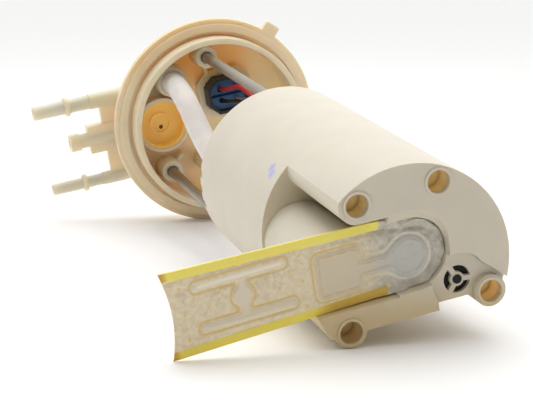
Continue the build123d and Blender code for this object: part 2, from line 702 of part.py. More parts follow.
def strainer_bag():
    plane = bag_plane()
    solid = extrude(bag_outline(BAND_WIDTH / 2), amount=BAG_THICK / 2, both=True)
    hollow = extrude(bag_outline(BAND_WIDTH / 2 + BAG_SKIN), amount=BAG_THICK / 2 - BAG_SKIN, both=True)
    bag = solid - hollow
    for side in (1, -1):
        bag -= extrude(band_strip(side), amount=BAG_THICK, both=True)
    fitting_hole = bar(inlet_xy(), -BAG_THICK, 0, INLET_R + FITTING_WALL + SEAT_GAP)
    bag -= fitting_hole
    return plane.location * bag


def strainer_edge_bands():
    plane = bag_plane()
    return [plane.location * extrude(band_strip(side), amount=BAND_THICK / 2, both=True)
            for side in (1, -1)]


def strainer_frame():
    """Spacer inside the bag: suction plate, neck to the end disc, two bars and their ring."""
    plane = bag_plane()
    px, py = inlet_xy()
    end_x = STRAINER_END[0] - STRAINER_TIP_X
    flat = Pos(px, py) * RectangleRounded(2 * PLATE_HALF[0], 2 * PLATE_HALF[1], 4)
    flat += Pos(end_x, STRAINER_END[1]) * Circle(FRAME_DISC_R)
    flat += area(px, end_x, py - 3, py + 3)
    ring_x, ring_y = FRAME_RING_AT
    flat += Pos(ring_x, ring_y) * (Circle(FRAME_RING_R[0]) - Circle(FRAME_RING_R[1]))
    for y in FRAME_BARS_Y:
        flat += Pos(ring_x, y) * SlotOverall(*FRAME_BAR)
    flat += area(37, 39.4, 13, 18) + area(37, 39.4, -2.3, 2.8)
    flat += area(43.4, px - PLATE_HALF[0] + 1, 6.9, 8.9)
    frame = extrude(flat, amount=FRAME_THICK / 2, both=True)
    inlet = (px + STRAINER_TIP_X, py)
    frame = plane.location * frame
    frame += bar(inlet, depth(SLEEVE_FOOT_H + 1.5), depth(5.5), INLET_R + FITTING_WALL)
    return frame - bar(inlet, depth(SLEEVE_FOOT_H + 9), depth(4.0), INLET_R + RUNNING_FIT)


# ------------------------------------------------------------------ pump
def pump_part(shape):
    return Pos(PUMP[0], PUMP[1], 0) * shape


def pump_can():
    can = tube((0, 0), depth(CAN_HIGH_H), depth(CAN_LOW_H), CAN_R, CAN_R - CAN_WALL)
    return pump_part(can)


def pump_inlet_cap():
    inner = CAN_R - CAN_WALL
    cap = bar((0, 0), depth(CAN_LOW_H), depth(CAN_LOW_H - 5), CAN_R)
    cap += bar((0, 0), depth(CAN_LOW_H + CAP_SPIGOT), depth(CAN_LOW_H), inner)
    cap += bar(INLET_OFFSET, depth(CAN_LOW_H - 5), depth(INLET_TIP_H), INLET_R)
    cap -= bar(INLET_OFFSET, depth(CAN_LOW_H + CAP_SPIGOT + 1), depth(INLET_TIP_H - 1), INLET_BORE_R)
    cap -= bar((0, 0), depth(CAN_LOW_H + CAP_SPIGOT + 1), depth(CAN_LOW_H + 1), SHAFT_R + RUNNING_FIT)
    return pump_part(cap)


def impeller():
    """Turbine wheel with vane pockets round its rim."""
    wheel = bar((0, 0), depth(IMPELLER_H + IMPELLER_THICK), depth(IMPELLER_H), IMPELLER_R)
    wheel -= bar((0, 0), depth(IMPELLER_H + 9), depth(IMPELLER_H - 1), SHAFT_R)
    pockets = Sketch()
    for k in range(IMPELLER_VANES):
        pocket = area(IMPELLER_R - 2.2, IMPELLER_R + 1, -0.7, 0.7)
        pockets += Rot(0, 0, 360 * k / IMPELLER_VANES) * pocket
    wheel -= prism(pockets, depth(IMPELLER_H + IMPELLER_THICK + 1), depth(IMPELLER_H - 1))
    return pump_part(wheel)


def pump_mid_plate():
    low = IMPELLER_H + IMPELLER_THICK + 0.4
    plate = bar((0, 0), depth(low + 5), depth(low), CAN_R - CAN_WALL)
    plate -= bar((0, 0), depth(low + 6), depth(low - 1), SHAFT_R + RUNNING_FIT)
    plate -= bar((9.5, 0), depth(low + 6), depth(low - 1), 2.2)
    return pump_part(plate)


def pump_shaft():
    shaft = bar((0, 0), depth(CAN_HIGH_H - 10), depth(CAN_LOW_H + 1.6), SHAFT_R)
    return pump_part(shaft)


def pump_armature():
    """Slotted core with its windings drawn as a band at each end."""
    core = bar((0, 0), depth(ARMATURE_HIGH_H), depth(ARMATURE_LOW_H), ARMATURE_R)
    slots = Sketch()
    for k in range(8):
        slots += Rot(0, 0, 45 * k) * area(ARMATURE_R - 3, ARMATURE_R + 1, -0.8, 0.8)
    core -= prism(slots, depth(ARMATURE_HIGH_H + 1), depth(ARMATURE_LOW_H - 1))
    core -= bar((0, 0), depth(ARMATURE_HIGH_H + 1), depth(ARMATURE_LOW_H - 1), SHAFT_R)
    return pump_part(core)


def pump_windings():
    rings = []
    for h in (ARMATURE_LOW_H - 4, ARMATURE_HIGH_H):
        winding = bar((0, 0), depth(h + (4 if h < ARMATURE_LOW_H else 2.4)), depth(h), ARMATURE_R - 1.5)
        winding -= bar((0, 0), depth(h + 6), depth(h - 1), SHAFT_R)
        rings.append(pump_part(winding))
    return rings


def pump_commutator():
    disc = bar((0, 0), depth(COMMUTATOR_H + COMMUTATOR_THICK), depth(COMMUTATOR_H), COMMUTATOR_R)
    disc -= bar((0, 0), depth(COMMUTATOR_H + 9), depth(COMMUTATOR_H - 1), SHAFT_R)
    for k in range(8):
        cut = Rot(0, 0, 45 * k) * block(3, 9, -0.25, 0.25, depth(COMMUTATOR_H + 6),
                                        depth(COMMUTATOR_H + COMMUTATOR_THICK - 0.8))
        disc -= cut
    return pump_part(disc)


def pump_magnets():
    outer = CAN_R - CAN_WALL
    ring_sketch = Circle(outer) - Circle(outer - MAGNET_THICK)
    magnets = []
    for turn in (0.0, 180.0):
        reach = 2 * outer
        edge = MAGNET_SPAN / 2
        wedge = Polygon((0, 0), polar(reach, -edge), (reach * 2, 0), polar(reach, edge), align=None)
        arc = prism(ring_sketch & wedge, depth(ARMATURE_HIGH_H + 4), depth(ARMATURE_LOW_H - 3))
        magnets.append(pump_part(Rot(0, 0, turn) * arc))
    return magnets


def pump_outlet_cap():
    inner = CAN_R - CAN_WALL
    brush_low = COMMUTATOR_H + COMMUTATOR_THICK + 0.6
    cap = bar((0, 0), depth(CAN_HIGH_H), depth(brush_low), inner)
    cap += bar((0, 0), depth(CAP_TOP_H), depth(CAN_HIGH_H), CAN_R)
    cap += bar(OUTLET_OFFSET, depth(OUTLET_TIP_H), depth(CAP_TOP_H), OUTLET_R)
    cap -= bar((0, 0), depth(CAN_HIGH_H - 8), depth(brush_low - 1), SHAFT_R + RUNNING_FIT)
    cap -= bar(OUTLET_OFFSET, depth(OUTLET_TIP_H + 1), depth(CHECK_SEAT_H), OUTLET_BORE_R)
    cap -= bar(OUTLET_OFFSET, depth(CHECK_SEAT_H), depth(CAN_HIGH_H - 5), 1.7)
    cap -= block(-1.4, 1.4, 0, 12, depth(CAN_HIGH_H - 2), depth(CAN_HIGH_H - 5))
    cap -= block(-1.4, 1.4, 9, 12, depth(CAN_HIGH_H - 2), depth(brush_low - 1))
    for side in (-1, 1):
        x = side * BRUSH_OFFSET
        half = BRUSH_SIZE / 2 + 0.1
        cap -= block(x - half, x + half, -half, half, depth(brush_low + 13), depth(brush_low - 1))
        slot = block(BLADE_AT - 0.45, BLADE_AT + 0.45, -3.2, 3.2, depth(CAP_TOP_H + 1),
                     depth(CAP_TOP_H - 5))
        cap -= Rot(0, 0, side * BLADE_ANGLE) * slot
    return pump_part(cap)


def pump_brushes():
    low = COMMUTATOR_H + COMMUTATOR_THICK
    brushes = []
    for side in (-1, 1):
        x = side * BRUSH_OFFSET
        half = BRUSH_SIZE / 2
        brush = block(x - half, x + half, -half, half, depth(low + BRUSH_LENGTH), depth(low))
        brushes.append(pump_part(brush))
    return brushes


def brush_springs():
    low = COMMUTATOR_H + COMMUTATOR_THICK + BRUSH_LENGTH + 0.1
    rise = COMMUTATOR_H + COMMUTATOR_THICK + 0.6 + 13 - low - 0.5
    springs = []
    for side in (-1, 1):
        coil = Helix(pitch=rise / 3, height=rise, radius=1.5)
        profile = Plane(origin=coil @ 0, z_dir=coil % 0) * Rectangle(0.4, 0.4)
        wire = Pos(side * BRUSH_OFFSET, 0, depth(low + rise + 0.22)) * sweep(profile, path=coil)
        springs.append(pump_part(wire))
    return springs


def pump_terminals():
    width, thick, tall = BLADE
    blades = []
    for side in (-1, 1):
        blade = block(BLADE_AT - thick / 2, BLADE_AT + thick / 2, -width / 2, width / 2,
                      depth(CAP_TOP_H + tall), depth(CAP_TOP_H - 5))
        blades.append(pump_part(Rot(0, 0, side * BLADE_ANGLE) * blade))
    return blades


def check_ball():
    centre = (OUTLET_OFFSET[0], OUTLET_OFFSET[1], depth(CHECK_SEAT_H + CHECK_BALL_R + 0.02))
    return pump_part(Pos(*centre) * Sphere(CHECK_BALL_R))


def check_stop():
    """Cross bar that keeps the ball in the outlet."""
    h = CHECK_SEAT_H + 2 * CHECK_BALL_R + CHECK_LIFT + 0.1
    half = OUTLET_BORE_R - 0.01
    bar_block = block(-half + 0.4, half - 0.4, -0.6, 0.6, depth(h + 1.2), depth(h))
    ring_part = tube(OUTLET_OFFSET, depth(h + 1.2), depth(h), half, half - 0.7)
    return pump_part(bar_block + ring_part)


def isolators():
    """Rubber foot and rubber collar between the pump and its sleeve."""
    bore = SLEEVE_R - SLEEVE_WALL
    floor = SLEEVE_FOOT_H + SLEEVE_FLOOR
    foot = bar((0, 0), depth(CAN_LOW_H - 5), depth(floor), bore - 0.15)
    foot -= bar(INLET_OFFSET, depth(CAN_LOW_H), depth(floor - 1), INLET_R + 1.6)
    collar = tube((0, 0), depth(CAN_HIGH_H - 4), depth(CAN_HIGH_H - 16), bore - 0.15, CAN_R + 0.05)
    return [pump_part(foot), pump_part(collar)]


def pump_retainer():
    """Cap on the sleeve's top that holds the pump down."""
    lip = SLEEVE_R + 1.0
    cap = bar((0, 0), depth(SLEEVE_TOP_H + 2.0), depth(SLEEVE_TOP_H), lip)
    cap += tube((0, 0), depth(SLEEVE_TOP_H), depth(SLEEVE_TOP_H - 5), lip, SLEEVE_R + 0.15)
    cap -= bar((0, 0), depth(SLEEVE_TOP_H + 3), depth(SLEEVE_TOP_H - 0.5), 15.5)
    for k in range(4):
        spoke = block(0, 15.8, -1.6, 1.6, depth(SLEEVE_TOP_H + 2.0), depth(SLEEVE_TOP_H))
        cap += Rot(0, 0, 90 * k) * spoke
    cap -= bar((0, 0), depth(SLEEVE_TOP_H + 3), depth(SLEEVE_TOP_H - 9), OUTLET_R + 0.3)
    foot = tube((0, 0), depth(SLEEVE_TOP_H), depth(CAP_TOP_H), 7.2, OUTLET_R + 0.3)
    cap += foot
    room = Pos(0, 0, 0) * bar((-PUMP[0], -PUMP[1]), depth(SLEEVE_TOP_H + 9), depth(0), RES_R - RES_WALL - 0.3)
    return pump_part(cap & room)


# ------------------------------------------------------------------ level sender
def sender_part(shape):
    return Pos(SENDER_X, FLAT_Y, 0) * shape


def sender_housing():
    wide, thick, tall = SENDER_SIZE
    z0 = depth(SENDER_H + tall / 2)
    z1 = depth(SENDER_H - tall / 2)
    box = block(-wide / 2, wide / 2, -thick, 0, z0, z1)
    box = fillet(box.edges().filter_by(Axis.Y), 4.0)
    pocket = block(-wide / 2 + 2, wide / 2 - 2, -thick - 1, -thick + 3, z0 + 3, z1 - 14)
    box -= pocket
    pivot_z = depth(PIVOT_H)
    pin = Pos(0, -thick, pivot_z) * Rot(90, 0, 0) * Cylinder(PIVOT_R, HUB_THICK + 1.6, align=UPRIGHT)
    head = Pos(0, -thick - HUB_THICK - 0.6, pivot_z) * Rot(90, 0, 0) * Cylinder(
        PIVOT_R + 1.0, 1.0, align=UPRIGHT
    )
    return sender_part(box + pin + head)


def sender_card():
    """Resistor card lying in the housing's pocket."""
    wide, thick, tall = CARD_SIZE
    floor = -SENDER_SIZE[1] + 3
    z0 = depth(SENDER_H + SENDER_SIZE[2] / 2) + 5
    return sender_part(block(-wide / 2, wide / 2, floor - thick, floor, z0, z0 + tall))


def sender_hub():
    """Plastic hub that turns on the housing's pin and grips the float arm."""
    y = -SENDER_SIZE[1] - 0.3
    hub = Pos(0, y, depth(PIVOT_H)) * Rot(90, 0, 0) * Cylinder(HUB_R, HUB_THICK, align=UPRIGHT)
    reach = 22.0
    arm_block = block(0, reach, y - HUB_THICK, y, -3.2, 3.2)
    lever = Pos(0, 0, depth(PIVOT_H)) * Rot(0, ARM_REST_ANGLE, 0) * arm_block
    hub += lever
    bore = Pos(0, y + 1, depth(PIVOT_H)) * Rot(90, 0, 0) * Cylinder(
        PIVOT_R + RUNNING_FIT, HUB_THICK + 2, align=UPRIGHT
    )
    hub -= bore
    groove_y = y - HUB_THICK / 2
    channel = Pos(4.5, groove_y, 0) * Rot(0, 90, 0) * Cylinder(ARM_R, reach, align=UPRIGHT)
    hub -= Pos(0, 0, depth(PIVOT_H)) * Rot(0, ARM_REST_ANGLE, 0) * channel
    return sender_part(hub)


def arm_path_points():
    """Corner points of the float arm in the plane of its swing."""
    y = -SENDER_SIZE[1] - 0.3 - HUB_THICK / 2
    start = (4.6, y, 0)
    kink = (ARM_LENGTH * 0.45, y, 0)
    corner = (ARM_LENGTH, y, -4.0)
    end = (ARM_LENGTH, y + FLOAT_LENGTH + 4, -4.0)
    return [start, kink, corner, end]


def arm_turned(shape):
    return sender_part(Pos(0, 0, depth(PIVOT_H)) * Rot(0, ARM_REST_ANGLE, 0) * shape)


def float_arm():
    points = arm_path_points()
    path = FilletPolyline(*points, radius=[12.0, ARM_BEND_R])
    profile = Plane(origin=path @ 0, z_dir=path % 0) * Circle(ARM_R)
    return arm_turned(sweep(profile, path=path))


def float_body():
    corner = arm_path_points()[2]
    start = corner[1] + ARM_BEND_R + 0.5
    body = Pos(corner[0], start, corner[2]) * Rot(-90, 0, 0) * Cylinder(
        FLOAT_R, FLOAT_LENGTH - 4, align=UPRIGHT
    )
    body = fillet(body.edges().filter_by(GeomType.CIRCLE), 2.0)
    body -= Pos(corner[0], start - 1, corner[2]) * Rot(-90, 0, 0) * Cylinder(
        ARM_R, FLOAT_LENGTH + 8, align=UPRIGHT
    )
    return arm_turned(body)


# ------------------------------------------------------------------ hose and wires
WIRE_ROUTES = {
    "wire_red": ((11.5, 19, 268), (11, 0, 236), (9, -28.6, 206), (8, -29.7, 152.0)),
    "wire_purple": ((20, 17, 268), (19, 0, 236), (14, -28.6, 206), (13, -29.7, 152.0)),
    "wire_black": ((2, 12, 275), (-8, 10, 230), (-17, 8, 190)),
    "wire_grey": ((9, 9, 275), (-4, 4, 230), (-16, -3, 190)),
}


def corner_radii(points):
    """Radius for each corner: 0.45 of its shorter run over the tangent of half the turn."""
    radii = []
    for a, b, c in zip(points, points[1:], points[2:]):
        before = Vector(*b) - Vector(*a)
        after = Vector(*c) - Vector(*b)
        turn = math.radians(before.get_angle(after))
        radii.append(0.45 * min(before.length, after.length) / math.tan(turn / 2))
    return radii


def routed_cord(points, r, r_in=None):
    radii = corner_radii(points)
    print("  cord radii", [round(value) for value in radii])
    path = FilletPolyline(*points, radius=radii)
    start = Plane(origin=path @ 0, z_dir=path % 0)
    section = Circle(r) if r_in is None else Circle(r) - Circle(r_in)
    solid = sweep(start * section, path=path)
    return solid


def hose_route():
    """Points of the hose's line, from the cover's nipple to the pump's outlet."""
    top = HOSE_PORT_END + 0.3
    low = depth(OUTLET_TIP_H - HOSE_GRIP)
    points = [(HOSE_PORT[0], HOSE_PORT[1], top)]
    points += [(x, y, depth(h)) for x, y, h in HOSE_POINTS]
    points.append((PUMP[0], PUMP[1], low))
    return points


def feed_hose():
    points = hose_route()
    return routed_cord(points, HOSE_R, HOSE_BORE_R)


def wire_route(name):
    """Points of one wire's line: out of its seat and down to the sender or to the pump."""
    x, y = wire_seats()[name]
    route = [(x, y, COVER_FLOOR + 5.0), (x, y, 24.0)]
    route += [(px, py, depth(h)) for px, py, h in WIRE_ROUTES[name]]
    if name in ("wire_black", "wire_grey"):
        side = 1 if name == "wire_black" else -1
        dx, dy = polar(BLADE_AT, side * BLADE_ANGLE)
        end = (PUMP[0] + dx, PUMP[1] + dy)
        route.append((end[0], end[1], depth(CAP_TOP_H + BLADE[2] + 26)))
        route.append((end[0], end[1], depth(CAP_TOP_H + BLADE[2] + SEAT_GAP)))
    return route


def wire(name):
    return routed_cord(wire_route(name), WIRE_R)


def assembly():
    """Every node with the function that makes it and its arguments."""
    return {
        "cover": (cover,),
        "vent_valve_cap": (vent_valve_cap,),
        "pass_through_connector": (pass_through_connector,),
        "connector_lock": (connector_lock,),
        "connector_terminals": (connector_terminals,),
        "guide_rod_upper": (guide_rod, ROD_UPPER),
        "guide_rod_lower": (guide_rod, ROD_LOWER),
        "rod_stop_rings": (rod_stop_rings,),
        "guide_bushes": (guide_bushes,),
        "return_spring_upper": (return_spring, ROD_UPPER),
        "return_spring_lower": (return_spring, ROD_LOWER),
        "reservoir": (reservoir_shell,),
        "reservoir_lid": (reservoir_lid,),
        "umbrella_valve": (umbrella_valve,),
        "strainer_bag": (strainer_bag,),
        "strainer_edge_bands": (strainer_edge_bands,),
        "strainer_frame": (strainer_frame,),
        "pump_can": (pump_can,),
        "pump_inlet_cap": (pump_inlet_cap,),
        "impeller": (impeller,),
        "pump_mid_plate": (pump_mid_plate,),
        "pump_shaft": (pump_shaft,),
        "pump_armature": (pump_armature,),
        "pump_windings": (pump_windings,),
        "pump_commutator": (pump_commutator,),
        "pump_magnets": (pump_magnets,),
        "pump_outlet_cap": (pump_outlet_cap,),
        "pump_brushes": (pump_brushes,),
        "brush_springs": (brush_springs,),
        "pump_terminals": (pump_terminals,),
        "check_ball": (check_ball,),
        "check_stop": (check_stop,),
        "pump_isolators": (isolators,),
        "pump_retainer": (pump_retainer,),
        "sender_housing": (sender_housing,),
        "sender_card": (sender_card,),
        "sender_hub": (sender_hub,),
        "float_arm": (float_arm,),
        "float": (float_body,),
        "feed_hose": (feed_hose,),
        "wire_red": (wire, "wire_red"),
        "wire_purple": (wire, "wire_purple"),
        "wire_black": (wire, "wire_black"),
        "wire_grey": (wire, "wire_grey"),
    }


def main():
    os.makedirs("parts", exist_ok=True)
    for name, (make, *arguments) in assembly().items():
        made = make(*arguments)
        pieces = made if isinstance(made, list) else [made]
        solids = [solid for piece in pieces for solid in (LAID * piece).solids()]
        shape = solids[0] if len(solids) == 1 else Compound(solids)
        export_step(shape, "parts/" + name + ".step")
        print(name, len(solids), round(shape.volume))


if __name__ == "__main__":
    main()
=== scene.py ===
"""Look of the fuel pump module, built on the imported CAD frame.

The CAD nodes keep their places. This script gives them their finishes and adds what the solids
leave out: the moulded strainer bag, the corrugated feed hose, the wires and the coil springs.
Lengths named in millimetres belong to the module frame: x and y span the cross-section as seen
from the reservoir's bottom, and h is the height above that bottom.
"""

from __future__ import annotations

import json
import logging
import math
from dataclasses import dataclass, field, replace
from enum import Enum
from pathlib import Path
from typing import Callable, Sequence

import bpy
import numpy as np
from mathutils import Matrix, Vector
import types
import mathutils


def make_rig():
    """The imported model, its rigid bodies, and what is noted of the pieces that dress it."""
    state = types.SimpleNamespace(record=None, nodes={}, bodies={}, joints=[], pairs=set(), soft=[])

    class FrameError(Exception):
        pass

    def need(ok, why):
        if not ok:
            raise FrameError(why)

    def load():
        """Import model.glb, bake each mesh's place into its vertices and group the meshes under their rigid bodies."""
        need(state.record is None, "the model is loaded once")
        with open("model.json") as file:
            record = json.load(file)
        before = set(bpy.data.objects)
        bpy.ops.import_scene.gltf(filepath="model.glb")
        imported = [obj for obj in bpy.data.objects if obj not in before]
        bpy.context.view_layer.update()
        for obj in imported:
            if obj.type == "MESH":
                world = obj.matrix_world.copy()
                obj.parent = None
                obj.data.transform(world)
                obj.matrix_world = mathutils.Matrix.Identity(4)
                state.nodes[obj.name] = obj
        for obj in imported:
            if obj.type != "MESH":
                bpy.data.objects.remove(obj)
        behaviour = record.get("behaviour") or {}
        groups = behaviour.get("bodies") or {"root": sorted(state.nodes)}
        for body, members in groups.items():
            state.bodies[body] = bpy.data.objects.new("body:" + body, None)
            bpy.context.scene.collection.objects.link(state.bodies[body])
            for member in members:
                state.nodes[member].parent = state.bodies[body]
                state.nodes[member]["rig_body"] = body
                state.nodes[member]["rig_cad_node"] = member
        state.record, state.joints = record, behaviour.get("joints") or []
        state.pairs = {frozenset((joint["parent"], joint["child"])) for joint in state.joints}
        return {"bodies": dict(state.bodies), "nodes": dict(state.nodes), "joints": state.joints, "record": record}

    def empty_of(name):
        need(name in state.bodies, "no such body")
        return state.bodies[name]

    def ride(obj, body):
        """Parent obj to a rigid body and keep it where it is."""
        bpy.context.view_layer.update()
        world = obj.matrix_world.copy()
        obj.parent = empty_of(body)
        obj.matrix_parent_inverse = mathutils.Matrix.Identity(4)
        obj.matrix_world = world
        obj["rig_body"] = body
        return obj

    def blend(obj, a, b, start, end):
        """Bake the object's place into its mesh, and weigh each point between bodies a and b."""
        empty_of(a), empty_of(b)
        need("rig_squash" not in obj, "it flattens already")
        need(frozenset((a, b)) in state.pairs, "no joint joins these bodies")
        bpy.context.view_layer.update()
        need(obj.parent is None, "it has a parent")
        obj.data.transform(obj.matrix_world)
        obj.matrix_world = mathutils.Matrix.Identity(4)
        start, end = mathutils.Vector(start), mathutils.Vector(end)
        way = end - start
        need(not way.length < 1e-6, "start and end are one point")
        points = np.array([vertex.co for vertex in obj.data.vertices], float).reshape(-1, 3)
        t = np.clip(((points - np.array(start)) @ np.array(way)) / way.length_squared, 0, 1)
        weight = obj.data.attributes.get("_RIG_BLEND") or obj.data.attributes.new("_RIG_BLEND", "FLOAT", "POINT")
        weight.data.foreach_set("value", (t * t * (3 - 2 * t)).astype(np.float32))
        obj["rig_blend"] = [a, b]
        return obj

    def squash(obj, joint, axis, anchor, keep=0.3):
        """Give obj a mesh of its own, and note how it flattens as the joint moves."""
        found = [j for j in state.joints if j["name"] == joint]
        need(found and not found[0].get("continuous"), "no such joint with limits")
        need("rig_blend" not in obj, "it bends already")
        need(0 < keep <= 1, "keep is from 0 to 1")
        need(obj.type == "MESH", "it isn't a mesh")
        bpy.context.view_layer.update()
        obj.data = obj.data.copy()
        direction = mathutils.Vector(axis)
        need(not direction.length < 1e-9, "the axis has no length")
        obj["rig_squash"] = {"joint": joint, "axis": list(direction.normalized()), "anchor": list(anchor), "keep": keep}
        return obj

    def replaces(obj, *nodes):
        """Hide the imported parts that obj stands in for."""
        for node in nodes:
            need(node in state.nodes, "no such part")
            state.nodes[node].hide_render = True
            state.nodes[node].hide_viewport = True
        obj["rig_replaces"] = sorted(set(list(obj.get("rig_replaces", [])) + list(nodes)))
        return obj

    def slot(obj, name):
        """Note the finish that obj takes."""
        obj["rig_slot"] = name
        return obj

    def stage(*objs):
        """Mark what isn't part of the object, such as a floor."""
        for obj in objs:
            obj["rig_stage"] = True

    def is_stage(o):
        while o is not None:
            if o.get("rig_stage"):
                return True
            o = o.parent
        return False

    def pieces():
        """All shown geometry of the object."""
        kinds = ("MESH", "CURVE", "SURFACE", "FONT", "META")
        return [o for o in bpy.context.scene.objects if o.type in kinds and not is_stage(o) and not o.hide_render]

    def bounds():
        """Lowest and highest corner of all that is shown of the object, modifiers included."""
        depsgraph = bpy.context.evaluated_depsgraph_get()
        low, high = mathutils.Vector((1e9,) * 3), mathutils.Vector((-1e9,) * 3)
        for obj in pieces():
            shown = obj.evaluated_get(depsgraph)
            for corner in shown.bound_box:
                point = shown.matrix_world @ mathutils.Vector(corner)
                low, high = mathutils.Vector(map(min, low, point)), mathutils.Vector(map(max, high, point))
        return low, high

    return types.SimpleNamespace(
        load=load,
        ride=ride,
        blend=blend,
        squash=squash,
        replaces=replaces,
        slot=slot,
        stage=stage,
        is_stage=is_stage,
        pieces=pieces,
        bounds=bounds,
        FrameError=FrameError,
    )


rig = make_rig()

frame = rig.load()

logging.basicConfig(level=logging.INFO, format="%(message)s")
LOG = logging.getLogger("fuel_pump_module")

SIZE_FILE = Path("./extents.json")
MM = 0.001
# The module lies rolled about its axis, with the row frame's origin on the cover's seat face.
ROLL = math.radians(14.0)
BOTTOM_DEPTH = 343.0
SEED = 11
CORD_ORDER = 3
CORD_STEPS = 40
RIB_STEPS = 8
RIB_SHARPNESS = 6.0
COIL_STEPS = 28
MOTTLE_SPAN = (0.35, 0.7)
MOTTLE_DEPTH = 3.0

Colour = tuple[float, float, float]
Point = tuple[float, float, float]
Span = tuple[float, float]
Socket = bpy.types.NodeSocket
Node = bpy.types.Node
Dress = Callable[["Skin"], None]


class Body(str, Enum):
    """CAD bodies that pieces ride on."""

    COVER = "cover"
    RESERVOIR = "reservoir"


class Axis(str, Enum):
    """Axes of the row frame, by the names of their sockets."""

    X = "X"
    Y = "Y"
    Z = "Z"


def to_row(points: np.ndarray) -> np.ndarray:
    """Turns module points (x, y, h in mm) into row-frame points in metres.

    Args:
        points: array of shape (n, 3).

    Returns:
        Array of the same shape.
    """
    x, y, h = points[:, 0], points[:, 1], points[:, 2]
    c, s = math.cos(ROLL), math.sin(ROLL)
    return np.stack([x * c - y * s, h - BOTTOM_DEPTH, x * s + y * c], 1) * MM


def row_point(x: float, y: float, h: float) -> Point:
    """One module point (x, y, h in mm) in the row frame, in metres."""
    return tuple(float(v) for v in to_row(np.array([[x, y, h]]))[0])


def smoothstep(low: float, high: float, value: np.ndarray) -> np.ndarray:
    """Smooth ramp from 0 at low to 1 at high; low may lie above high."""
    t = np.clip((value - low) / (high - low), 0.0, 1.0)
    return t * t * (3.0 - 2.0 * t)


def bell(value: np.ndarray, middle: float, width: float) -> np.ndarray:
    """Bell curve: 1 at the middle and 1/e one width away from it."""
    return np.exp(-(((value - middle) / width) ** 2))


def soft_union(a: np.ndarray, b: np.ndarray, fillet: float) -> np.ndarray:
    """Signed distance to two joined outlines with a filleted corner."""
    h = np.clip(0.5 + 0.5 * (b - a) / fillet, 0, 1)
    return b * (1 - h) + a * h - fillet * h * (1 - h)


# --------------------------------------------------------------------------- node graphs
@dataclass
class Graph:
    """Thin helper round a shader or geometry node tree."""

    tree: bpy.types.NodeTree

    def node(self, kind: str, **settings: object) -> Node:
        """Adds a node.

        Args:
            kind: Blender's node type name.
            settings: attributes to set, or sockets when the name starts with "in_".

        Returns:
            The new node.
        """
        made = self.tree.nodes.new(kind)
        for key, value in settings.items():
            if key.startswith("in_"):
                name = key[3:].replace("_", " ")
                made.inputs[int(name) if name.isdigit() else name].default_value = value
            else:
                setattr(made, key, value)
        return made

    def link(self, source: Socket, target: Socket) -> None:
        """Joins two sockets."""
        self.tree.links.new(source, target)

    def coords(self) -> Socket:
        """Object coordinates, which equal the row frame in metres."""
        return self.node("ShaderNodeTexCoord").outputs["Object"]

    def noise(self, scale: float, detail: float = 3.0) -> Socket:
        """Noise over the object.

        Args:
            scale: waves per metre.
            detail: octaves of finer noise.

        Returns:
            Socket of the noise value.
        """
        made = self.node("ShaderNodeTexNoise", in_Scale=scale, in_Detail=detail)
        self.link(self.coords(), made.inputs["Vector"])
        return made.outputs["Fac"]

    def ramp(self, value: Socket, low: float, high: float) -> Socket:
        """Maps a value to 0..1, clamped and smooth.

        Args:
            value: socket to map.
            low: value that gives 0; it may lie above high.
            high: value that gives 1.

        Returns:
            Socket of the mapped value.
        """
        made = self.node("ShaderNodeMapRange", interpolation_type="SMOOTHSTEP")
        made.inputs["From Min"].default_value = low
        made.inputs["From Max"].default_value = high
        self.link(value, made.inputs["Value"])
        return made.outputs["Result"]

    def mix(self, factor: Socket, a: Socket | Colour, b: Socket | Colour) -> Socket:
        """Mixes two colours.

        Args:
            factor: 0 for the first colour, 1 for the second.
            a: first colour, or its socket.
            b: second colour, or its socket.

        Returns:
            Socket of the mixed colour.
        """
        made = self.node("ShaderNodeMix", data_type="RGBA")
        self.link(factor, made.inputs[0])
        for socket, value in ((made.inputs[6], a), (made.inputs[7], b)):
            if isinstance(value, bpy.types.NodeSocket):
                self.link(value, socket)
            else:
                socket.default_value = (*value, 1.0)
        return made.outputs[2]

    def attribute(self, name: str) -> Socket:
        """Value of a mesh attribute."""
        return self.node("ShaderNodeAttribute", attribute_name=name).outputs["Fac"]

    def distance(self, place: Point) -> Socket:
        """Distance from a place.

        Args:
            place: point of the row frame, in metres.

        Returns:
            Socket of the distance in metres.
        """
        made = self.node("ShaderNodeVectorMath", operation="DISTANCE")
        self.link(self.coords(), made.inputs[0])
        made.inputs[1].default_value = place
        return made.outputs["Value"]

    def part(self, vector: Socket, axis: Axis) -> Socket:
        """Part of a vector along an axis.

        Args:
            vector: socket of the vector.
            axis: the axis.

        Returns:
            Socket of that part.
        """
        made = self.node("ShaderNodeSeparateXYZ")
        self.link(vector, made.inputs[0])
        return made.outputs[axis.value]

    def axis(self, axis: Axis) -> Socket:
        """Object coordinate along an axis, in metres."""
        return self.part(self.coords(), axis)

    def facing(self, axis: Axis) -> Socket:
        """Part along an axis of the direction that the surface faces."""
        return self.part(self.node("ShaderNodeTexCoord").outputs["Normal"], axis)

    def math(self, operation: str, *values: Socket | float) -> Socket:
        """One operation on values.

        Args:
            operation: Blender's name of the operation.
            values: sockets or plain numbers, in the order of the node's inputs.

        Returns:
            Socket of the result.
        """
        made = self.node("ShaderNodeMath", operation=operation)
        for socket, value in zip(made.inputs, values):
            if isinstance(value, bpy.types.NodeSocket):
                self.link(value, socket)
            else:
                socket.default_value = value
        return made.outputs[0]

    def times(self, *factors: Socket | float) -> Socket:
        """Product of two or more values.

        Args:
            factors: sockets or plain numbers.

        Returns:
            Socket of the product.
        """
        product = factors[0]
        for factor in factors[1:]:
            product = self.math("MULTIPLY", product, factor)
        return product

    def within(self, spans: dict[Axis, Span]) -> Socket:
        """Product of a ramp along each axis, between two coordinates in metres."""
        return self.times(*(self.ramp(self.axis(axis), *span) for axis, span in spans.items()))


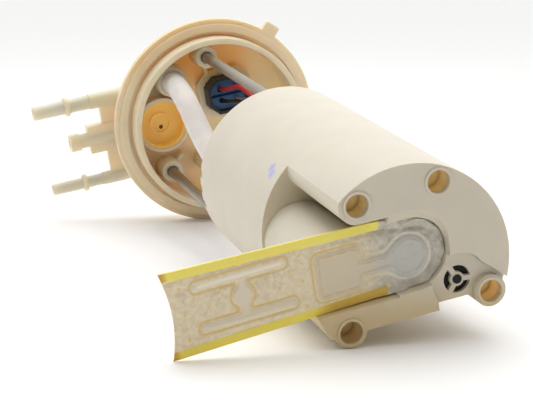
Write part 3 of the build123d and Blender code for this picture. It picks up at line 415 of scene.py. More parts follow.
@dataclass
class Skin(Graph):
    """Graph of a material, with the shader node that its marks change."""

    shader: Node

    def tint(self, amount: Socket, colour: Socket | Colour) -> None:
        """Mixes a colour into the base colour."""
        base = self.shader.inputs["Base Color"]
        self.link(self.mix(amount, base.links[0].from_socket, colour), base)

    def light(self, colour: Colour, strength: Socket) -> None:
        """Paints a glow by emission, such as a thin wall gives when it is lit from behind."""
        self.shader.inputs["Emission Color"].default_value = (*colour, 1.0)
        self.link(strength, self.shader.inputs["Emission Strength"])


@dataclass(frozen=True)
class Finish:
    """Surface finish of one kind of piece.

    Light goes into the piece by subsurface, reach (metres) and glow (share of each colour).
    grain is the strength of a fine bump, mottle the spread of the colour, and round_edges the
    radius in metres that softens the sharp edges of a moulding.
    """

    name: str
    colour: Colour
    roughness: float = 0.45
    metallic: float = 0.0
    subsurface: float = 0.0
    glow: Colour = (1.0, 0.6, 0.3)
    reach: float = 0.004
    grain: float = 0.0
    grain_scale: float = 900.0
    grain_height: float = 0.0004
    mottle: float = 0.04
    mottle_scale: float = 45.0
    round_edges: float = 0.0

    def build(self, dress: Dress | None = None) -> bpy.types.Material:
        """Makes the material.

        Args:
            dress: adds the marks of its own that a finish has.

        Returns:
            The material.
        """
        material = bpy.data.materials.new(self.name)
        material.use_nodes = True
        shader = material.node_tree.nodes["Principled BSDF"]
        skin = Skin(material.node_tree, shader)
        for socket, value in (
            ("Roughness", self.roughness), ("Metallic", self.metallic),
            ("Subsurface Weight", self.subsurface), ("Subsurface Radius", self.glow),
            ("Subsurface Scale", self.reach),
        ):
            shader.inputs[socket].default_value = value
        darker = tuple(v * (1.0 - MOTTLE_DEPTH * self.mottle) for v in self.colour)
        patches = skin.ramp(skin.noise(self.mottle_scale, detail=4.0), *MOTTLE_SPAN)
        skin.link(skin.mix(patches, darker, self.colour), shader.inputs["Base Color"])
        normal = None
        if self.round_edges:
            bevel = skin.node("ShaderNodeBevel", samples=4, in_Radius=self.round_edges)
            normal = bevel.outputs["Normal"]
        if self.grain:
            bump = skin.node(
                "ShaderNodeBump", in_Strength=self.grain, in_Distance=self.grain_height
            )
            skin.link(skin.noise(self.grain_scale, detail=2.0), bump.inputs["Height"])
            if normal is not None:
                skin.link(normal, bump.inputs["Normal"])
            normal = bump.outputs["Normal"]
        if normal is not None:
            skin.link(normal, shader.inputs["Normal"])
        if dress is not None:
            dress(skin)
        return material


class Palette:
    """Every finish of the module, made once and handed out by CAD node."""

    def __init__(self) -> None:
        """Starts with no material."""
        self.made: dict[str, bpy.types.Material] = {}

    def get(self, finish: Finish, dress: Dress | None = None) -> bpy.types.Material:
        """The material of a finish.

        Args:
            finish: the finish.
            dress: adds marks when the material is made.

        Returns:
            The material, made on first use.
        """
        if finish.name not in self.made:
            self.made[finish.name] = finish.build(dress)
        return self.made[finish.name]


ACETAL = Finish("cream_acetal", (0.725, 0.668, 0.545), 0.42, subsurface=0.35, reach=0.003,
                grain=0.05, grain_scale=1500.0, mottle=0.012, round_edges=0.0007)
COVER = Finish("tan_acetal", (0.91, 0.79, 0.59), 0.36, subsurface=0.7, reach=0.006,
               glow=(1.0, 0.80, 0.55), grain=0.04, mottle=0.02, round_edges=0.0009)
AMBER = Finish("amber_cup", (1.0, 0.62, 0.17), 0.32, subsurface=0.5, reach=0.006,
               glow=(1.0, 0.5, 0.15), mottle=0.05)
STEEL = Finish("rod_steel", (0.40, 0.37, 0.32), 0.42, metallic=1.0, mottle=0.05)
PALE_METAL = Finish("tinned_metal", (0.72, 0.70, 0.66), 0.3, metallic=1.0)
BLACK = Finish("black_plastic", (0.016, 0.017, 0.019), 0.42)
RUBBER = Finish("black_rubber", (0.004, 0.004, 0.004), 0.75)
BLUE = Finish("blue_plastic", (0.035, 0.13, 0.30), 0.38, mottle=0.06)
HOSE = Finish("hose_nylon", (0.95, 0.90, 0.87), 0.45, subsurface=0.3, reach=0.003)
GREY = Finish("grey_plastic", (0.33, 0.33, 0.32), 0.5)
RESIN = Finish("impeller_resin", (0.16, 0.12, 0.09), 0.55)
COPPER = Finish("copper", (0.75, 0.38, 0.20), 0.35, metallic=1.0)
FERRITE = Finish("ferrite", (0.07, 0.07, 0.075), 0.6)
ZINC = Finish("zinc_can", (0.55, 0.55, 0.53), 0.35, metallic=1.0)
CARD = Finish("ceramic_card", (0.8, 0.8, 0.76), 0.3)
FOAM = Finish("float_foam", (0.03, 0.03, 0.03), 0.8, grain=0.3)
WIRES = {
    "wire_red": Finish("red_wire", (0.55, 0.02, 0.02), 0.4),
    "wire_purple": Finish("purple_wire", (0.20, 0.03, 0.25), 0.4),
    "wire_black": Finish("black_wire", (0.02, 0.02, 0.022), 0.4),
    "wire_grey": Finish("grey_wire", (0.30, 0.31, 0.33), 0.4),
}
NODE_FINISH: dict[str, Finish] = {
    "cover": COVER, "vent_valve_cap": AMBER, "pass_through_connector": BLACK,
    "connector_lock": BLUE, "connector_terminals": PALE_METAL, "guide_rod_upper": STEEL,
    "guide_rod_lower": STEEL, "rod_stop_rings": STEEL, "guide_bushes": ACETAL,
    "reservoir": ACETAL, "reservoir_lid": ACETAL, "umbrella_valve": RUBBER, "pump_can": ZINC,
    "pump_inlet_cap": GREY, "impeller": RESIN, "pump_mid_plate": RESIN, "pump_shaft": STEEL,
    "pump_armature": FERRITE, "pump_windings": COPPER, "pump_commutator": COPPER,
    "pump_magnets": FERRITE, "pump_outlet_cap": GREY, "pump_brushes": RUBBER,
    "brush_springs": STEEL, "pump_terminals": PALE_METAL, "check_ball": RUBBER,
    "check_stop": GREY, "pump_isolators": RUBBER, "pump_retainer": ACETAL,
    "sender_housing": ACETAL, "sender_card": CARD, "sender_hub": BLACK, "float_arm": STEEL,
    "float": FOAM,
}


# --------------------------------------------------------------------------- meshes
def add_object(name: str, data: bpy.types.ID | None) -> bpy.types.Object:
    """Adds an object to the scene.

    Args:
        name: object name.
        data: its mesh, curve, light or camera.

    Returns:
        The object.
    """
    made = bpy.data.objects.new(name, data)
    bpy.context.scene.collection.objects.link(made)
    return made


def new_object(
    name: str, verts: np.ndarray, faces: Sequence, smooth: bool = True
) -> bpy.types.Object:
    """Makes a mesh object.

    Args:
        name: object name.
        verts: row-frame points, in metres.
        faces: vertex indices of each face.
        smooth: whether the faces are shaded smooth.

    Returns:
        The object.
    """
    mesh = bpy.data.meshes.new(name)
    mesh.from_pydata([tuple(v) for v in verts], [], [tuple(f) for f in faces])
    mesh.update()
    if smooth:
        mesh.shade_smooth()
    return add_object(name, mesh)


def nurbs(name: str, route: Sequence[Point]) -> bpy.types.Object:
    """Curve object with one open NURBS spline on the route's points.

    Args:
        name: object name.
        route: module points (x, y, h in mm).

    Returns:
        The curve object, with no bevel.
    """
    curve = bpy.data.curves.new(name, "CURVE")
    curve.dimensions = "3D"
    line = curve.splines.new("NURBS")
    line.points.add(len(route) - 1)
    for point, place in zip(line.points, to_row(np.array(route, float))):
        point.co = (*place, 1.0)
    line.order_u = CORD_ORDER
    line.use_endpoint_u = True
    line.resolution_u = CORD_STEPS
    return add_object(name, curve)


@dataclass
class NodeTree:
    """A Geometry Nodes tree with named inputs that ends in one finished mesh.

    inputs maps each input's name to its kind of socket, and make adds the nodes of the shape.
    """

    name: str
    inputs: dict[str, str]
    make: Callable[[Graph, Node], Socket]
    tree: bpy.types.NodeTree | None = None

    def build(self) -> bpy.types.NodeTree:
        """Builds the tree on first use.

        Returns:
            The tree, which ends in Realize Instances and Set Material.
        """
        if self.tree is None:
            self.tree = bpy.data.node_groups.new(self.name, "GeometryNodeTree")
            face = self.tree.interface
            face.new_socket("Geometry", in_out="INPUT", socket_type="NodeSocketGeometry")
            for label, kind in self.inputs.items():
                face.new_socket(label, in_out="INPUT", socket_type=f"NodeSocket{kind}")
            face.new_socket("Finish", in_out="INPUT", socket_type="NodeSocketMaterial")
            face.new_socket("Geometry", in_out="OUTPUT", socket_type="NodeSocketGeometry")
            graph = Graph(self.tree)
            given = graph.node("NodeGroupInput")
            smooth = graph.node("GeometryNodeSetShadeSmooth")
            realize = graph.node("GeometryNodeRealizeInstances")
            finish = graph.node("GeometryNodeSetMaterial")
            graph.link(self.make(graph, given), smooth.inputs["Geometry"])
            graph.link(smooth.outputs[0], realize.inputs["Geometry"])
            graph.link(realize.outputs[0], finish.inputs["Geometry"])
            graph.link(given.outputs["Finish"], finish.inputs["Material"])
            graph.link(finish.outputs[0], graph.node("NodeGroupOutput").inputs["Geometry"])
        return self.tree

    def apply(self, source: bpy.types.Object, name: str, material: bpy.types.Material,
              **values: float) -> bpy.types.Object:
        """Runs the tree on an object and keeps only the plain mesh it gives.

        Args:
            source: object that carries the tree's input geometry; it is removed.
            name: name of the finished piece.
            material: finish of the piece.
            values: the tree's inputs by name, with "_" for a space.

        Returns:
            The finished mesh object.
        """
        modifier = source.modifiers.new(self.name, "NODES")
        modifier.node_group = self.build()
        wanted = {key.replace("_", " "): value for key, value in values.items()}
        wanted["Finish"] = material
        for item in self.tree.interface.items_tree:
            if item.in_out == "INPUT" and item.name in wanted:
                modifier[item.identifier] = wanted[item.name]
        source.update_tag()
        bpy.context.view_layer.update()
        seen = source.evaluated_get(bpy.context.evaluated_depsgraph_get())
        mesh = bpy.data.meshes.new_from_object(seen)
        bpy.data.objects.remove(source)
        if not mesh.materials:
            mesh.materials.append(material)
        LOG.info("%s: %d faces from %s", name, len(mesh.polygons), self.name)
        return add_object(name, mesh)


def sweep(graph: Graph, line: Socket, radius: Socket, sides: Socket) -> Socket:
    """Nodes that sweep a round profile along a curve.

    Args:
        graph: tree to add to.
        line: curve.
        radius: radius field along the curve.
        sides: sides of the profile.

    Returns:
        Socket of the mesh.
    """
    sized = graph.node("GeometryNodeSetCurveRadius")
    graph.link(line, sized.inputs["Curve"])
    graph.link(radius, sized.inputs["Radius"])
    profile = graph.node("GeometryNodeCurvePrimitiveCircle", in_Radius=1.0)
    graph.link(sides, profile.inputs["Resolution"])
    swept = graph.node("GeometryNodeCurveToMesh")
    graph.link(sized.outputs[0], swept.inputs["Curve"])
    graph.link(profile.outputs["Curve"], swept.inputs["Profile Curve"])
    swept.inputs["Fill Caps"].default_value = True
    if "Scale" in swept.inputs:
        graph.link(radius, swept.inputs["Scale"])
    return swept.outputs["Mesh"]


def corrugated(graph: Graph, given: Node) -> Socket:
    """Tube along the object's curve with round ribs at even pitch.

    Args:
        graph: tree to add to.
        given: the tree's input node.

    Returns:
        Socket of the mesh.
    """
    even = graph.node("GeometryNodeResampleCurve", mode="LENGTH")
    graph.link(given.outputs["Geometry"], even.inputs["Curve"])
    step = graph.math("DIVIDE", given.outputs["Pitch"], float(RIB_STEPS))
    graph.link(step, even.inputs["Length"])
    index = graph.node("GeometryNodeInputIndex").outputs[0]
    wave = graph.math("COSINE", graph.times(index, math.pi / RIB_STEPS))
    valley = graph.math("POWER", wave, RIB_SHARPNESS)
    cut = graph.times(valley, given.outputs["Groove"])
    radius = graph.math("SUBTRACT", given.outputs["Radius"], cut)
    return sweep(graph, even.outputs["Curve"], radius, given.outputs["Sides"])


def coil(graph: Graph, given: Node) -> Socket:
    """Helix of round wire that stands on its foot along +Y.

    Args:
        graph: tree to add to.
        given: the tree's input node.

    Returns:
        Socket of the mesh.
    """
    spiral = graph.node("GeometryNodeCurveSpiral", in_Resolution=COIL_STEPS)
    for own, input_name in (("Rotations", "Turns"), ("Start Radius", "Mean Radius"),
                            ("End Radius", "Mean Radius"), ("Height", "Length")):
        graph.link(given.outputs[input_name], spiral.inputs[own])
    turned = graph.node("GeometryNodeTransform")
    turned.inputs["Rotation"].default_value = (-math.pi / 2, 0.0, 0.0)
    graph.link(spiral.outputs["Curve"], turned.inputs["Geometry"])
    moved = graph.node("GeometryNodeTransform")
    graph.link(turned.outputs[0], moved.inputs["Geometry"])
    graph.link(given.outputs["Foot"], moved.inputs["Translation"])
    return sweep(graph, moved.outputs[0], given.outputs["Wire Radius"], given.outputs["Sides"])


TUBE = NodeTree(
    "corrugated_tube",
    {"Radius": "Float", "Groove": "Float", "Pitch": "Float", "Sides": "Int"}, corrugated,
)
COIL = NodeTree(
    "coil_spring",
    {"Turns": "Float", "Mean Radius": "Float", "Length": "Float", "Wire Radius": "Float",
     "Foot": "Vector", "Sides": "Int"}, coil,
)


# --------------------------------------------------------------------------- sub-assemblies
@dataclass
class CadNodes:
    """Finishes of the CAD nodes, with ink, painted glow and painted shade on three of them.

    Places are module points in mm. A span along an axis or round a place is in metres.
    """

    palette: Palette
    ink: tuple[tuple[Point, Span], ...] = (
        ((-36.0, 37.6, 91.0), (0.0046, 0.0010)), ((-37.8, 35.6, 87.0), (0.0042, 0.0010)),
    )
    ink_grain: float = 420.0
    ink_gaps: Span = (0.18, 0.62)
    ink_colour: Colour = (0.46, 0.45, 0.80)
    hole_places: tuple[Span, ...] = ((-23.0, 37.5), (19.4, 39.4), (39.4, -22.6), (-35.0, -24.7))
    # Painted glow in the blind holes: emission strengths, tint and emission colour.
    hole_lights: tuple[float, ...] = (0.025, 0.05, 0.095, 0.04)
    hole_h: float = 8.0
    hole_span: Span = (0.0080, 0.0060)
    hole_glow_tint: Colour = (1.0, 0.80, 0.42)
    hole_glow: Colour = (1.0, 0.68, 0.25)
    # Painted shade: the low part of the foot, under the strainer, is tinted darker and warmer.
    foot_shade_spans: dict[Axis, Span] = field(
        default_factory=lambda: {Axis.Z: (-0.004, -0.026), Axis.Y: (-0.262, -0.272)}
    )
    foot_shade_colour: Colour = (0.66, 0.53, 0.31)
    # Painted glow of the cup: tint towards its middle, and emission strongest at its edge.
    cup_middle: Point = (-42.0, 7.5, 338.0)
    cup_span: Span = (0.021, 0.006)
    cup_colour: Colour = (1.0, 0.66, 0.30)
    cup_glow: Colour = (1.0, 0.56, 0.09)
    cup_edge_light: float = 0.105
    cup_middle_loss: float = -0.045
    recess_span: Span = (-0.004, 0.0125)
    recess_facing: Span = (0.6, 0.1)
    recess_patches: Span = (0.30, 0.68)
    recess_grain: float = 26.0
    recess_colour: Colour = (0.93, 0.72, 0.44)
    corner_spans: dict[Axis, Span] = field(
        default_factory=lambda: {Axis.Z: (0.012, 0.040), Axis.X: (0.034, 0.010)}
    )
    corner_colour: Colour = (0.86, 0.58, 0.20)
    outside_span: Span = (0.014, 0.024)
    outside_colour: Colour = (0.95, 0.82, 0.64)

    def dress(self) -> None:
        """Gives every CAD node its material."""
        marks = {"reservoir": self.reservoir_marks, "cover": self.cover_glow,
                 "vent_valve_cap": self.cup_painted_glow}
        for name, finish in NODE_FINISH.items():
            if name in marks:
                finish = replace(finish, name=f"{name}_{finish.name}")
            material = self.palette.get(finish, marks.get(name))
            node = frame["nodes"][name]
            node.data.materials.clear()
            node.data.materials.append(material)
            LOG.info("finish %s -> %s", name, material.name)

    def reservoir_marks(self, skin: Skin) -> None:
        """Ink on the wall, painted glow in the blind holes and painted shade on the foot.

        Args:
            skin: material of the reservoir.
        """
        spots = [skin.ramp(skin.distance(row_point(*place)), *span) for place, span in self.ink]
        gaps = skin.ramp(skin.noise(self.ink_grain), *self.ink_gaps)
        skin.tint(skin.times(skin.math("MAXIMUM", *spots), gaps), self.ink_colour)
        light: Socket | float = 0.0
        # Painted glow: each blind hole is tinted paler orange and given a faint emission, as light through its thin
        # wall.
        for (x, y), strength in zip(self.hole_places, self.hole_lights):
            deep = skin.ramp(skin.distance(row_point(x, y, self.hole_h)), *self.hole_span)
            skin.tint(deep, self.hole_glow_tint)
            light = skin.math("MULTIPLY_ADD", deep, strength, light)
        skin.light(self.hole_glow, light)
        # Painted shade on the low foot under the strainer.
        skin.tint(skin.within(self.foot_shade_spans), self.foot_shade_colour)

    def cup_painted_glow(self, skin: Skin) -> None:
        """Painted glow: the cup is duller towards its middle and saturated at its edge, which glows as if lit through
        its thin wall.

        Args:
            skin: material of the cup.
        """
        # Painted glow: tint and emission set by the distance from the cup's middle.
        middle = skin.ramp(skin.distance(row_point(*self.cup_middle)), *self.cup_span)
        skin.tint(middle, self.cup_colour)
        lit = skin.math("MULTIPLY_ADD", middle, self.cup_middle_loss, self.cup_edge_light)
        skin.light(self.cup_glow, lit)

    def cover_glow(self, skin: Skin) -> None:
        """Light that has passed through the plate turns the recess and the groove orange.

        Args:
            skin: material of the cover.
        """
        walls = skin.ramp(skin.facing(Axis.Y), *self.recess_facing)
        recess = skin.times(skin.within({Axis.Y: self.recess_span}), walls)
        patches = skin.ramp(skin.noise(self.recess_grain, detail=2.0), *self.recess_patches)
        skin.tint(skin.times(recess, patches), self.recess_colour)
        skin.tint(skin.times(recess, skin.within(self.corner_spans)), self.corner_colour)
        skin.tint(skin.within({Axis.Y: self.outside_span}), self.outside_colour)


@dataclass(frozen=True)
class Slab:
    """Rounded rectangle of the strainer's frame, in mm: middle, half sides, corner radius."""

    x: float
    y: float
    half_x: float
    half_y: float
    corner: float

    def distance(self, x: np.ndarray, y: np.ndarray) -> np.ndarray:
        """Signed distance to the outline, negative inside.

        Args:
            x: places along the bag.
            y: places across it.

        Returns:
            Array of distances.
        """
        qx = np.abs(x - self.x) - self.half_x + self.corner
        qy = np.abs(y - self.y) - self.half_y + self.corner
        outside = np.hypot(np.maximum(qx, 0), np.maximum(qy, 0))
        return outside + np.minimum(np.maximum(qx, qy), 0) - self.corner


@dataclass(frozen=True)
class Disc:
    """Round plate of the strainer's frame, in mm."""

    x: float
    y: float
    radius: float

    def distance(self, x: np.ndarray, y: np.ndarray) -> np.ndarray:
        """Signed distance to the outline, negative inside."""
        return np.hypot(x - self.x, y - self.y) - self.radius


@dataclass(frozen=True)
class Rib:
    """Raised line along a bar of the strainer's frame, in mm: middle, half length, height."""

    x: float
    y: float
    half: float
    height: float
    span: Span

    def rise(self, x: np.ndarray, y: np.ndarray) -> np.ndarray:
        """Height of the rib over the bar at each place of the bag."""
        across = smoothstep(*self.span, np.abs(y - self.y))
        return self.height * across * (np.abs(x - self.x) < self.half)


@dataclass(frozen=True)
class BagGrid:
    """Places on the bag and what its forms are worked out from, in mm.

    hump rises from 0 at the long edges to 1 between them. across is the distance to the nearer
    long edge, and from_tip and end_gap are those to the tip and to the round end. moulding is
    the signed distance to the frame under the mesh. on_band is 1 on the bands and 0 off them.
    """

    x: np.ndarray
    y: np.ndarray
    hump: np.ndarray
    across: np.ndarray
    from_tip: np.ndarray
    end_gap: np.ndarray
    moulding: np.ndarray
    on_band: np.ndarray


@dataclass(frozen=True)
class StrainerFinish:
    """Mesh, moulded frame, weld lines and bands of the bag in one material.

    A pair of colours is for the far part of the bag and for the part near its round end, and on
    the fuzz and the bands for their darker and lighter flecks.
    """

    base: Finish = Finish("strainer", (0.82, 0.71, 0.49), 0.42, subsurface=0.15, reach=0.002)
    fuzz: Colour = (0.90, 0.79, 0.57)
    # Near the round end the mesh is greyer: partly its own tone, partly painted shade of its crinkles.
    fuzz_at_end: tuple[Colour, Colour] = ((0.56, 0.53, 0.45), (0.66, 0.63, 0.55))
    moulded: tuple[Colour, Colour] = ((0.72, 0.62, 0.45), (0.59, 0.58, 0.53))
    # Lighter tone of the bars, and also the painted highlight along the upper bar.
    bars: Colour = (0.93, 0.85, 0.68)
    seam: tuple[Colour, Colour] = ((0.80, 0.59, 0.25), (0.82, 0.79, 0.70))
    dashes: tuple[Colour, Colour] = ((0.74, 0.52, 0.24), (0.50, 0.49, 0.46))
    dots: Colour = (0.86, 0.58, 0.20)
    bands: tuple[Colour, Colour] = ((1.0, 0.84, 0.16), (1.0, 0.88, 0.19))
    shade: Colour = (0.86, 0.68, 0.05)
    shade_share: float = 0.35
    # Colour of the bands' darker free tip, and painted shade where the lower band runs into the channel by the neck.
    dark_tip_and_neck_shade: Colour = (0.66, 0.40, 0.07)
    fuzz_grain: float = 420.0
    fuzz_span: Span = (0.30, 0.72)
    fleck_grain: float = 700.0
    fleck_span: Span = (0.3, 0.7)
    roughness: Span = (0.55, 0.25)
    crumple_grain: float = 620.0
    crumple_height: float = 0.0009
    crumple_least: float = 0.12
    crumple_at_end: float = 0.55
    weave_grain: float = 1700.0
    weave_height: float = 0.0003
    weave_strength: float = 0.25

    def dress(self, skin: Skin) -> None:
        """Colours the bag by its attributes and gives it its weave and fine folds.

        Args:
            skin: material of the bag.
        """
        near_end = skin.attribute("near_end")
        fuzz = skin.ramp(skin.noise(self.fuzz_grain, detail=6.0), *self.fuzz_span)
        flecks = skin.ramp(skin.noise(self.fleck_grain, detail=4.0), *self.fleck_span)
        skin.tint(fuzz, self.fuzz)
        # Greyer mesh near the round end: partly its own tone, partly painted shade of its crinkles.
        skin.tint(near_end, skin.mix(fuzz, *self.fuzz_at_end))
        for name, colour in (
            ("moulded", skin.mix(near_end, *self.moulded)), ("bars", self.bars),
            ("line", skin.mix(near_end, *self.seam)),
            ("dashes", skin.mix(near_end, *self.dashes)), ("dots", self.dots),
            ("band", skin.mix(flecks, *self.bands)),
        ):
            skin.tint(skin.attribute(name), colour)
        skin.tint(skin.times(skin.attribute("lower_band"), self.shade_share), self.shade)
        # The bands' darker free tip, and painted shade on the lower band by the neck.
        skin.tint(skin.attribute("dark_tip_and_neck_shade"), self.dark_tip_and_neck_shade)
        mesh, moulded = self.roughness
        gloss = skin.node("ShaderNodeMapRange", in_To_Min=mesh, in_To_Max=moulded)
        skin.link(skin.attribute("moulded"), gloss.inputs["Value"])
        skin.link(gloss.outputs["Result"], skin.shader.inputs["Roughness"])
        self.crumple(skin, near_end)

    def crumple(self, skin: Skin, near_end: Socket) -> None:
        """Adds the weave and the fine folds, which are deeper near the round end.

        Args:
            skin: material of the bag.
            near_end: 1 at the round end, 0 far from it.
        """
        folds = skin.node("ShaderNodeBump", in_Distance=self.crumple_height)
        skin.link(skin.noise(self.crumple_grain, detail=5.0), folds.inputs["Height"])
        deep = skin.math("MULTIPLY_ADD", near_end, self.crumple_at_end, self.crumple_least)
        skin.link(deep, folds.inputs["Strength"])
        weave = skin.node(
            "ShaderNodeBump", in_Strength=self.weave_strength, in_Distance=self.weave_height
        )
        skin.link(folds.outputs["Normal"], weave.inputs["Normal"])
        skin.link(skin.noise(self.weave_grain, detail=2.0), weave.inputs["Height"])
        skin.link(weave.outputs["Normal"], skin.shader.inputs["Normal"])


@dataclass
class Strainer:
    """Flat mesh bag with two welded bands and a moulded frame under the mesh.

    Sizes are in module mm: x runs along the bag from the free tip to the round end, y across it.
    A span holds the two values between which a form rises from 0 to 1, and a name that ends in
    _at holds the middle and the width of a line, measured from the frame's edge.
    """

    palette: Palette
    finish: StrainerFinish = StrainerFinish()
    # outline
    tip_x: float = -123.0
    tip_y: Span = (-15.3, 28.3)
    neck_x: float = -12.0
    neck_y: Span = (-12.5, 25.6)
    end: Span = (2.9, 5.3)
    end_r: float = 17.6
    end_cut: float = 0.02
    tip_h: float = 1.2
    end_h: float = 7.0
    sag: float = 3.2
    columns: int = 376
    rows: int = 130
    # thickness
    body: float = 3.4
    edge: float = 1.2
    puff: float = 3.0
    tip_pinch: Span = (-0.2, 4.5)
    tip_share: float = 0.35
    end_pinch: Span = (-0.3, 3.0)
    end_edge: float = 0.15
    curl: float = 1.7
    curl_across: Span = (5.0, 0.6)
    curl_along: Span = (-20.0, -6.0)
    back_inset: float = 0.1
    bow: float = 1.3
    bow_length: float = 60.0
    # bands
    band: float = 4.3
    band_blur: float = 0.15
    band_stop: float = 0.6
    band_rise: float = 0.12
    # The bands darken at the free tip. By the neck the lower band gets painted shade where it runs into the channel.
    dark_tip: Span = (5.0, 1.0)
    neck_shade: Span = (-52.0, -38.0)
    neck_shade_share: float = 0.8
    neck_shade_below: float = 5.0
    lower_band: Span = (6.0, 2.0)
    # frame under the mesh
    bars: tuple[Slab, Slab] = (
        Slab(-85.0, 18.3, 23.5, 1.7, 1.6), Slab(-83.0, -2.6, 24.0, 1.9, 1.7),
    )
    bridge: Slab = Slab(-84.4, 7.9, 1.7, 10.0, 0.4)
    bridge_eye: Disc = Disc(-84.6, 8.1, 4.9)
    plate: Slab = Slab(-35.6, 5.5, 12.2, 11.5, 3.4)
    neck: Slab = Slab(-18.0, 4.4, 12.0, 4.2, 0.8)
    disc: Disc = Disc(0.9, 4.4, 10.3)
    eye_fillet: float = 1.6
    bar_fillet: float = 2.4
    neck_fillet: float = 3.0
    disc_fillet: float = 4.0
    relief: float = 0.75
    relief_span: Span = (0.5, -0.7)
    groove: float = 0.28
    groove_at: Span = (1.5, 0.55)
    seam_at: Span = (1.3, 0.62)
    bead: float = 0.3
    bead_at: Span = (-1.9, 0.5)
    dash_at: Span = (-1.9, 0.35)
    dash_wave: float = 0.9
    dash_phase: float = 1.0
    dash_gap: float = -0.15
    plate_from: float = -60.0
    ribs: tuple[Rib, Rib] = (
        Rib(-85.0, 18.6, 21.5, 0.35, (0.9, 0.3)), Rib(-83.0, -2.8, 21.5, 0.3, (0.8, 0.3)),
    )
    moulded_span: Span = (0.4, -0.5)
    bars_span: Span = (-58.0, -62.0)
    # Painted highlight: a light stripe along the upper bar's rib, and its share of the bars' colour.
    highlight_across: Span = (1.3, 0.5)
    highlight_along: Span = (22.0, 20.5)
    highlight_share: float = 0.55
    # loose mesh
    slack_span: Span = (1.2, 4.0)
    end_slack: float = 1.3
    end_slack_span: Span = (-24.0, -6.0)
    near_end: Span = (-30.0, -4.0)
    wrinkles: int = 46
    wrinkle_length: Span = (6.0, 22.0)
    wrinkle_slope: float = 1 / 260
    wrinkle_bend: float = 1.7
    wrinkle_on_back: float = 0.25
    crinkles: int = 16
    crinkle_length: Span = (4.0, 9.0)
    crinkle_phase: float = 6.0
    crinkle_slope: float = 1 / 60
    crinkle_bend: float = 0.25
    crinkle_span: Span = (-44.0, -18.0)
    dot_row: float = 6.5
    dot_pitch: float = 12.0
    dot_slant: float = 5.8
    dot_span: Span = (1.0, 0.45)
    dots_span: Span = (-12.0, -26.0)

    def edges(self, x: np.ndarray) -> tuple[np.ndarray, np.ndarray]:
        """Long edges of the bag, rounded at the end.

        Args:
            x: places along the bag.

        Returns:
            Lower and upper edge at each place.
        """
        xs = [self.tip_x, self.neck_x, self.end[0]]
        beyond = np.clip(x - self.end[0], 0.0, self.end_r)
        curve = np.sqrt(np.maximum(self.end_r**2 - beyond**2, 0.0))
        found = []
        for tip, neck, side in zip(self.tip_y, self.neck_y, (-1.0, 1.0)):
            straight = np.interp(x, xs, [tip, neck, self.end[1] + side * self.end_r])
            found.append(np.where(x > self.end[0], self.end[1] + side * curve, straight))
        return found[0], found[1]

    def frame_distance(self, x: np.ndarray, y: np.ndarray) -> np.ndarray:
        """Signed distance to the moulded frame under the mesh.

        Args:
            x: places along the bag.
            y: places across it.

        Returns:
            Array of distances, negative on the frame.
        """
        bars = np.minimum(*(bar.distance(x, y) for bar in self.bars))
        eye = soft_union(
            self.bridge_eye.distance(x, y), self.bridge.distance(x, y), self.eye_fillet
        )
        skeleton = soft_union(bars, eye, self.bar_fillet)
        loops = soft_union(self.plate.distance(x, y), self.neck.distance(x, y), self.neck_fillet)
        loops = soft_union(loops, self.disc.distance(x, y), self.disc_fillet)
        return np.minimum(skeleton, loops)

    def grid(self) -> BagGrid:
        """Lays the bag's grid out and measures it.

        Returns:
            The grid, of columns along the bag by rows across it.
        """
        t = np.linspace(0.0, 1.0, self.rows)[None, :]
        s = np.linspace(0.0, 1.0, self.columns)[:, None]
        hump = 1 - (2 * t - 1) ** 2
        start = self.tip_x + self.sag * hump
        x = start + (self.end[0] + self.end_r - self.end_cut - start) * s
        low, top = self.edges(x)
        y = low + (top - low) * t
        across = np.minimum(t, 1 - t) * (top - low)
        on_band = smoothstep(self.band + self.band_blur, self.band - self.band_blur, across)
        on_band *= smoothstep(self.neck_x + self.band_stop, self.neck_x - self.band_stop, x)
        end_gap = self.end_r - np.hypot(np.maximum(x - self.end[0], 0), y - self.end[1])
        return BagGrid(
            x, y, hump, across, x - start, end_gap, self.frame_distance(x, y), on_band
        )

    def folds(self, grid: BagGrid) -> np.ndarray:
        """Height of the mesh's wrinkles and of its crinkles near the round end.

        Args:
            grid: the bag's grid.

        Returns:
            Array of heights.
        """
        x, y = grid.x, grid.y
        rng = np.random.default_rng(SEED)
        wrinkle = np.zeros_like(x)
        for _ in range(self.wrinkles):
            wave = rng.uniform(*self.wrinkle_length)
            turn = rng.uniform(0, math.tau)
            phase = rng.uniform(0, math.tau)
            c, s = math.cos(turn), math.sin(turn)
            bend = np.sin((y * c - x * s) * math.tau / (self.wrinkle_bend * wave) + 2 * phase)
            wrinkle += (
                np.sin((x * c + y * s) * math.tau / wave + phase + bend) * wave * self.wrinkle_slope
            )
        crinkle = np.zeros_like(x)
        for _ in range(self.crinkles):
            wave = rng.uniform(*self.crinkle_length)
            turn = rng.uniform(0, math.tau)
            along = (x * math.cos(turn) + y * math.sin(turn)) * math.pi / wave
            along = along + rng.uniform(0, self.crinkle_phase) + self.crinkle_bend * wrinkle
            crinkle += (0.5 - np.abs(np.sin(along))) * wave * self.crinkle_slope
        return wrinkle + crinkle * smoothstep(*self.crinkle_span, x)

    def slack(self, grid: BagGrid) -> np.ndarray:
        """How loose the mesh is: 0 on the frame, most near the round end."""
        loose = smoothstep(*self.slack_span, grid.moulding)
        return loose * (1 + self.end_slack * smoothstep(*self.end_slack_span, grid.x))

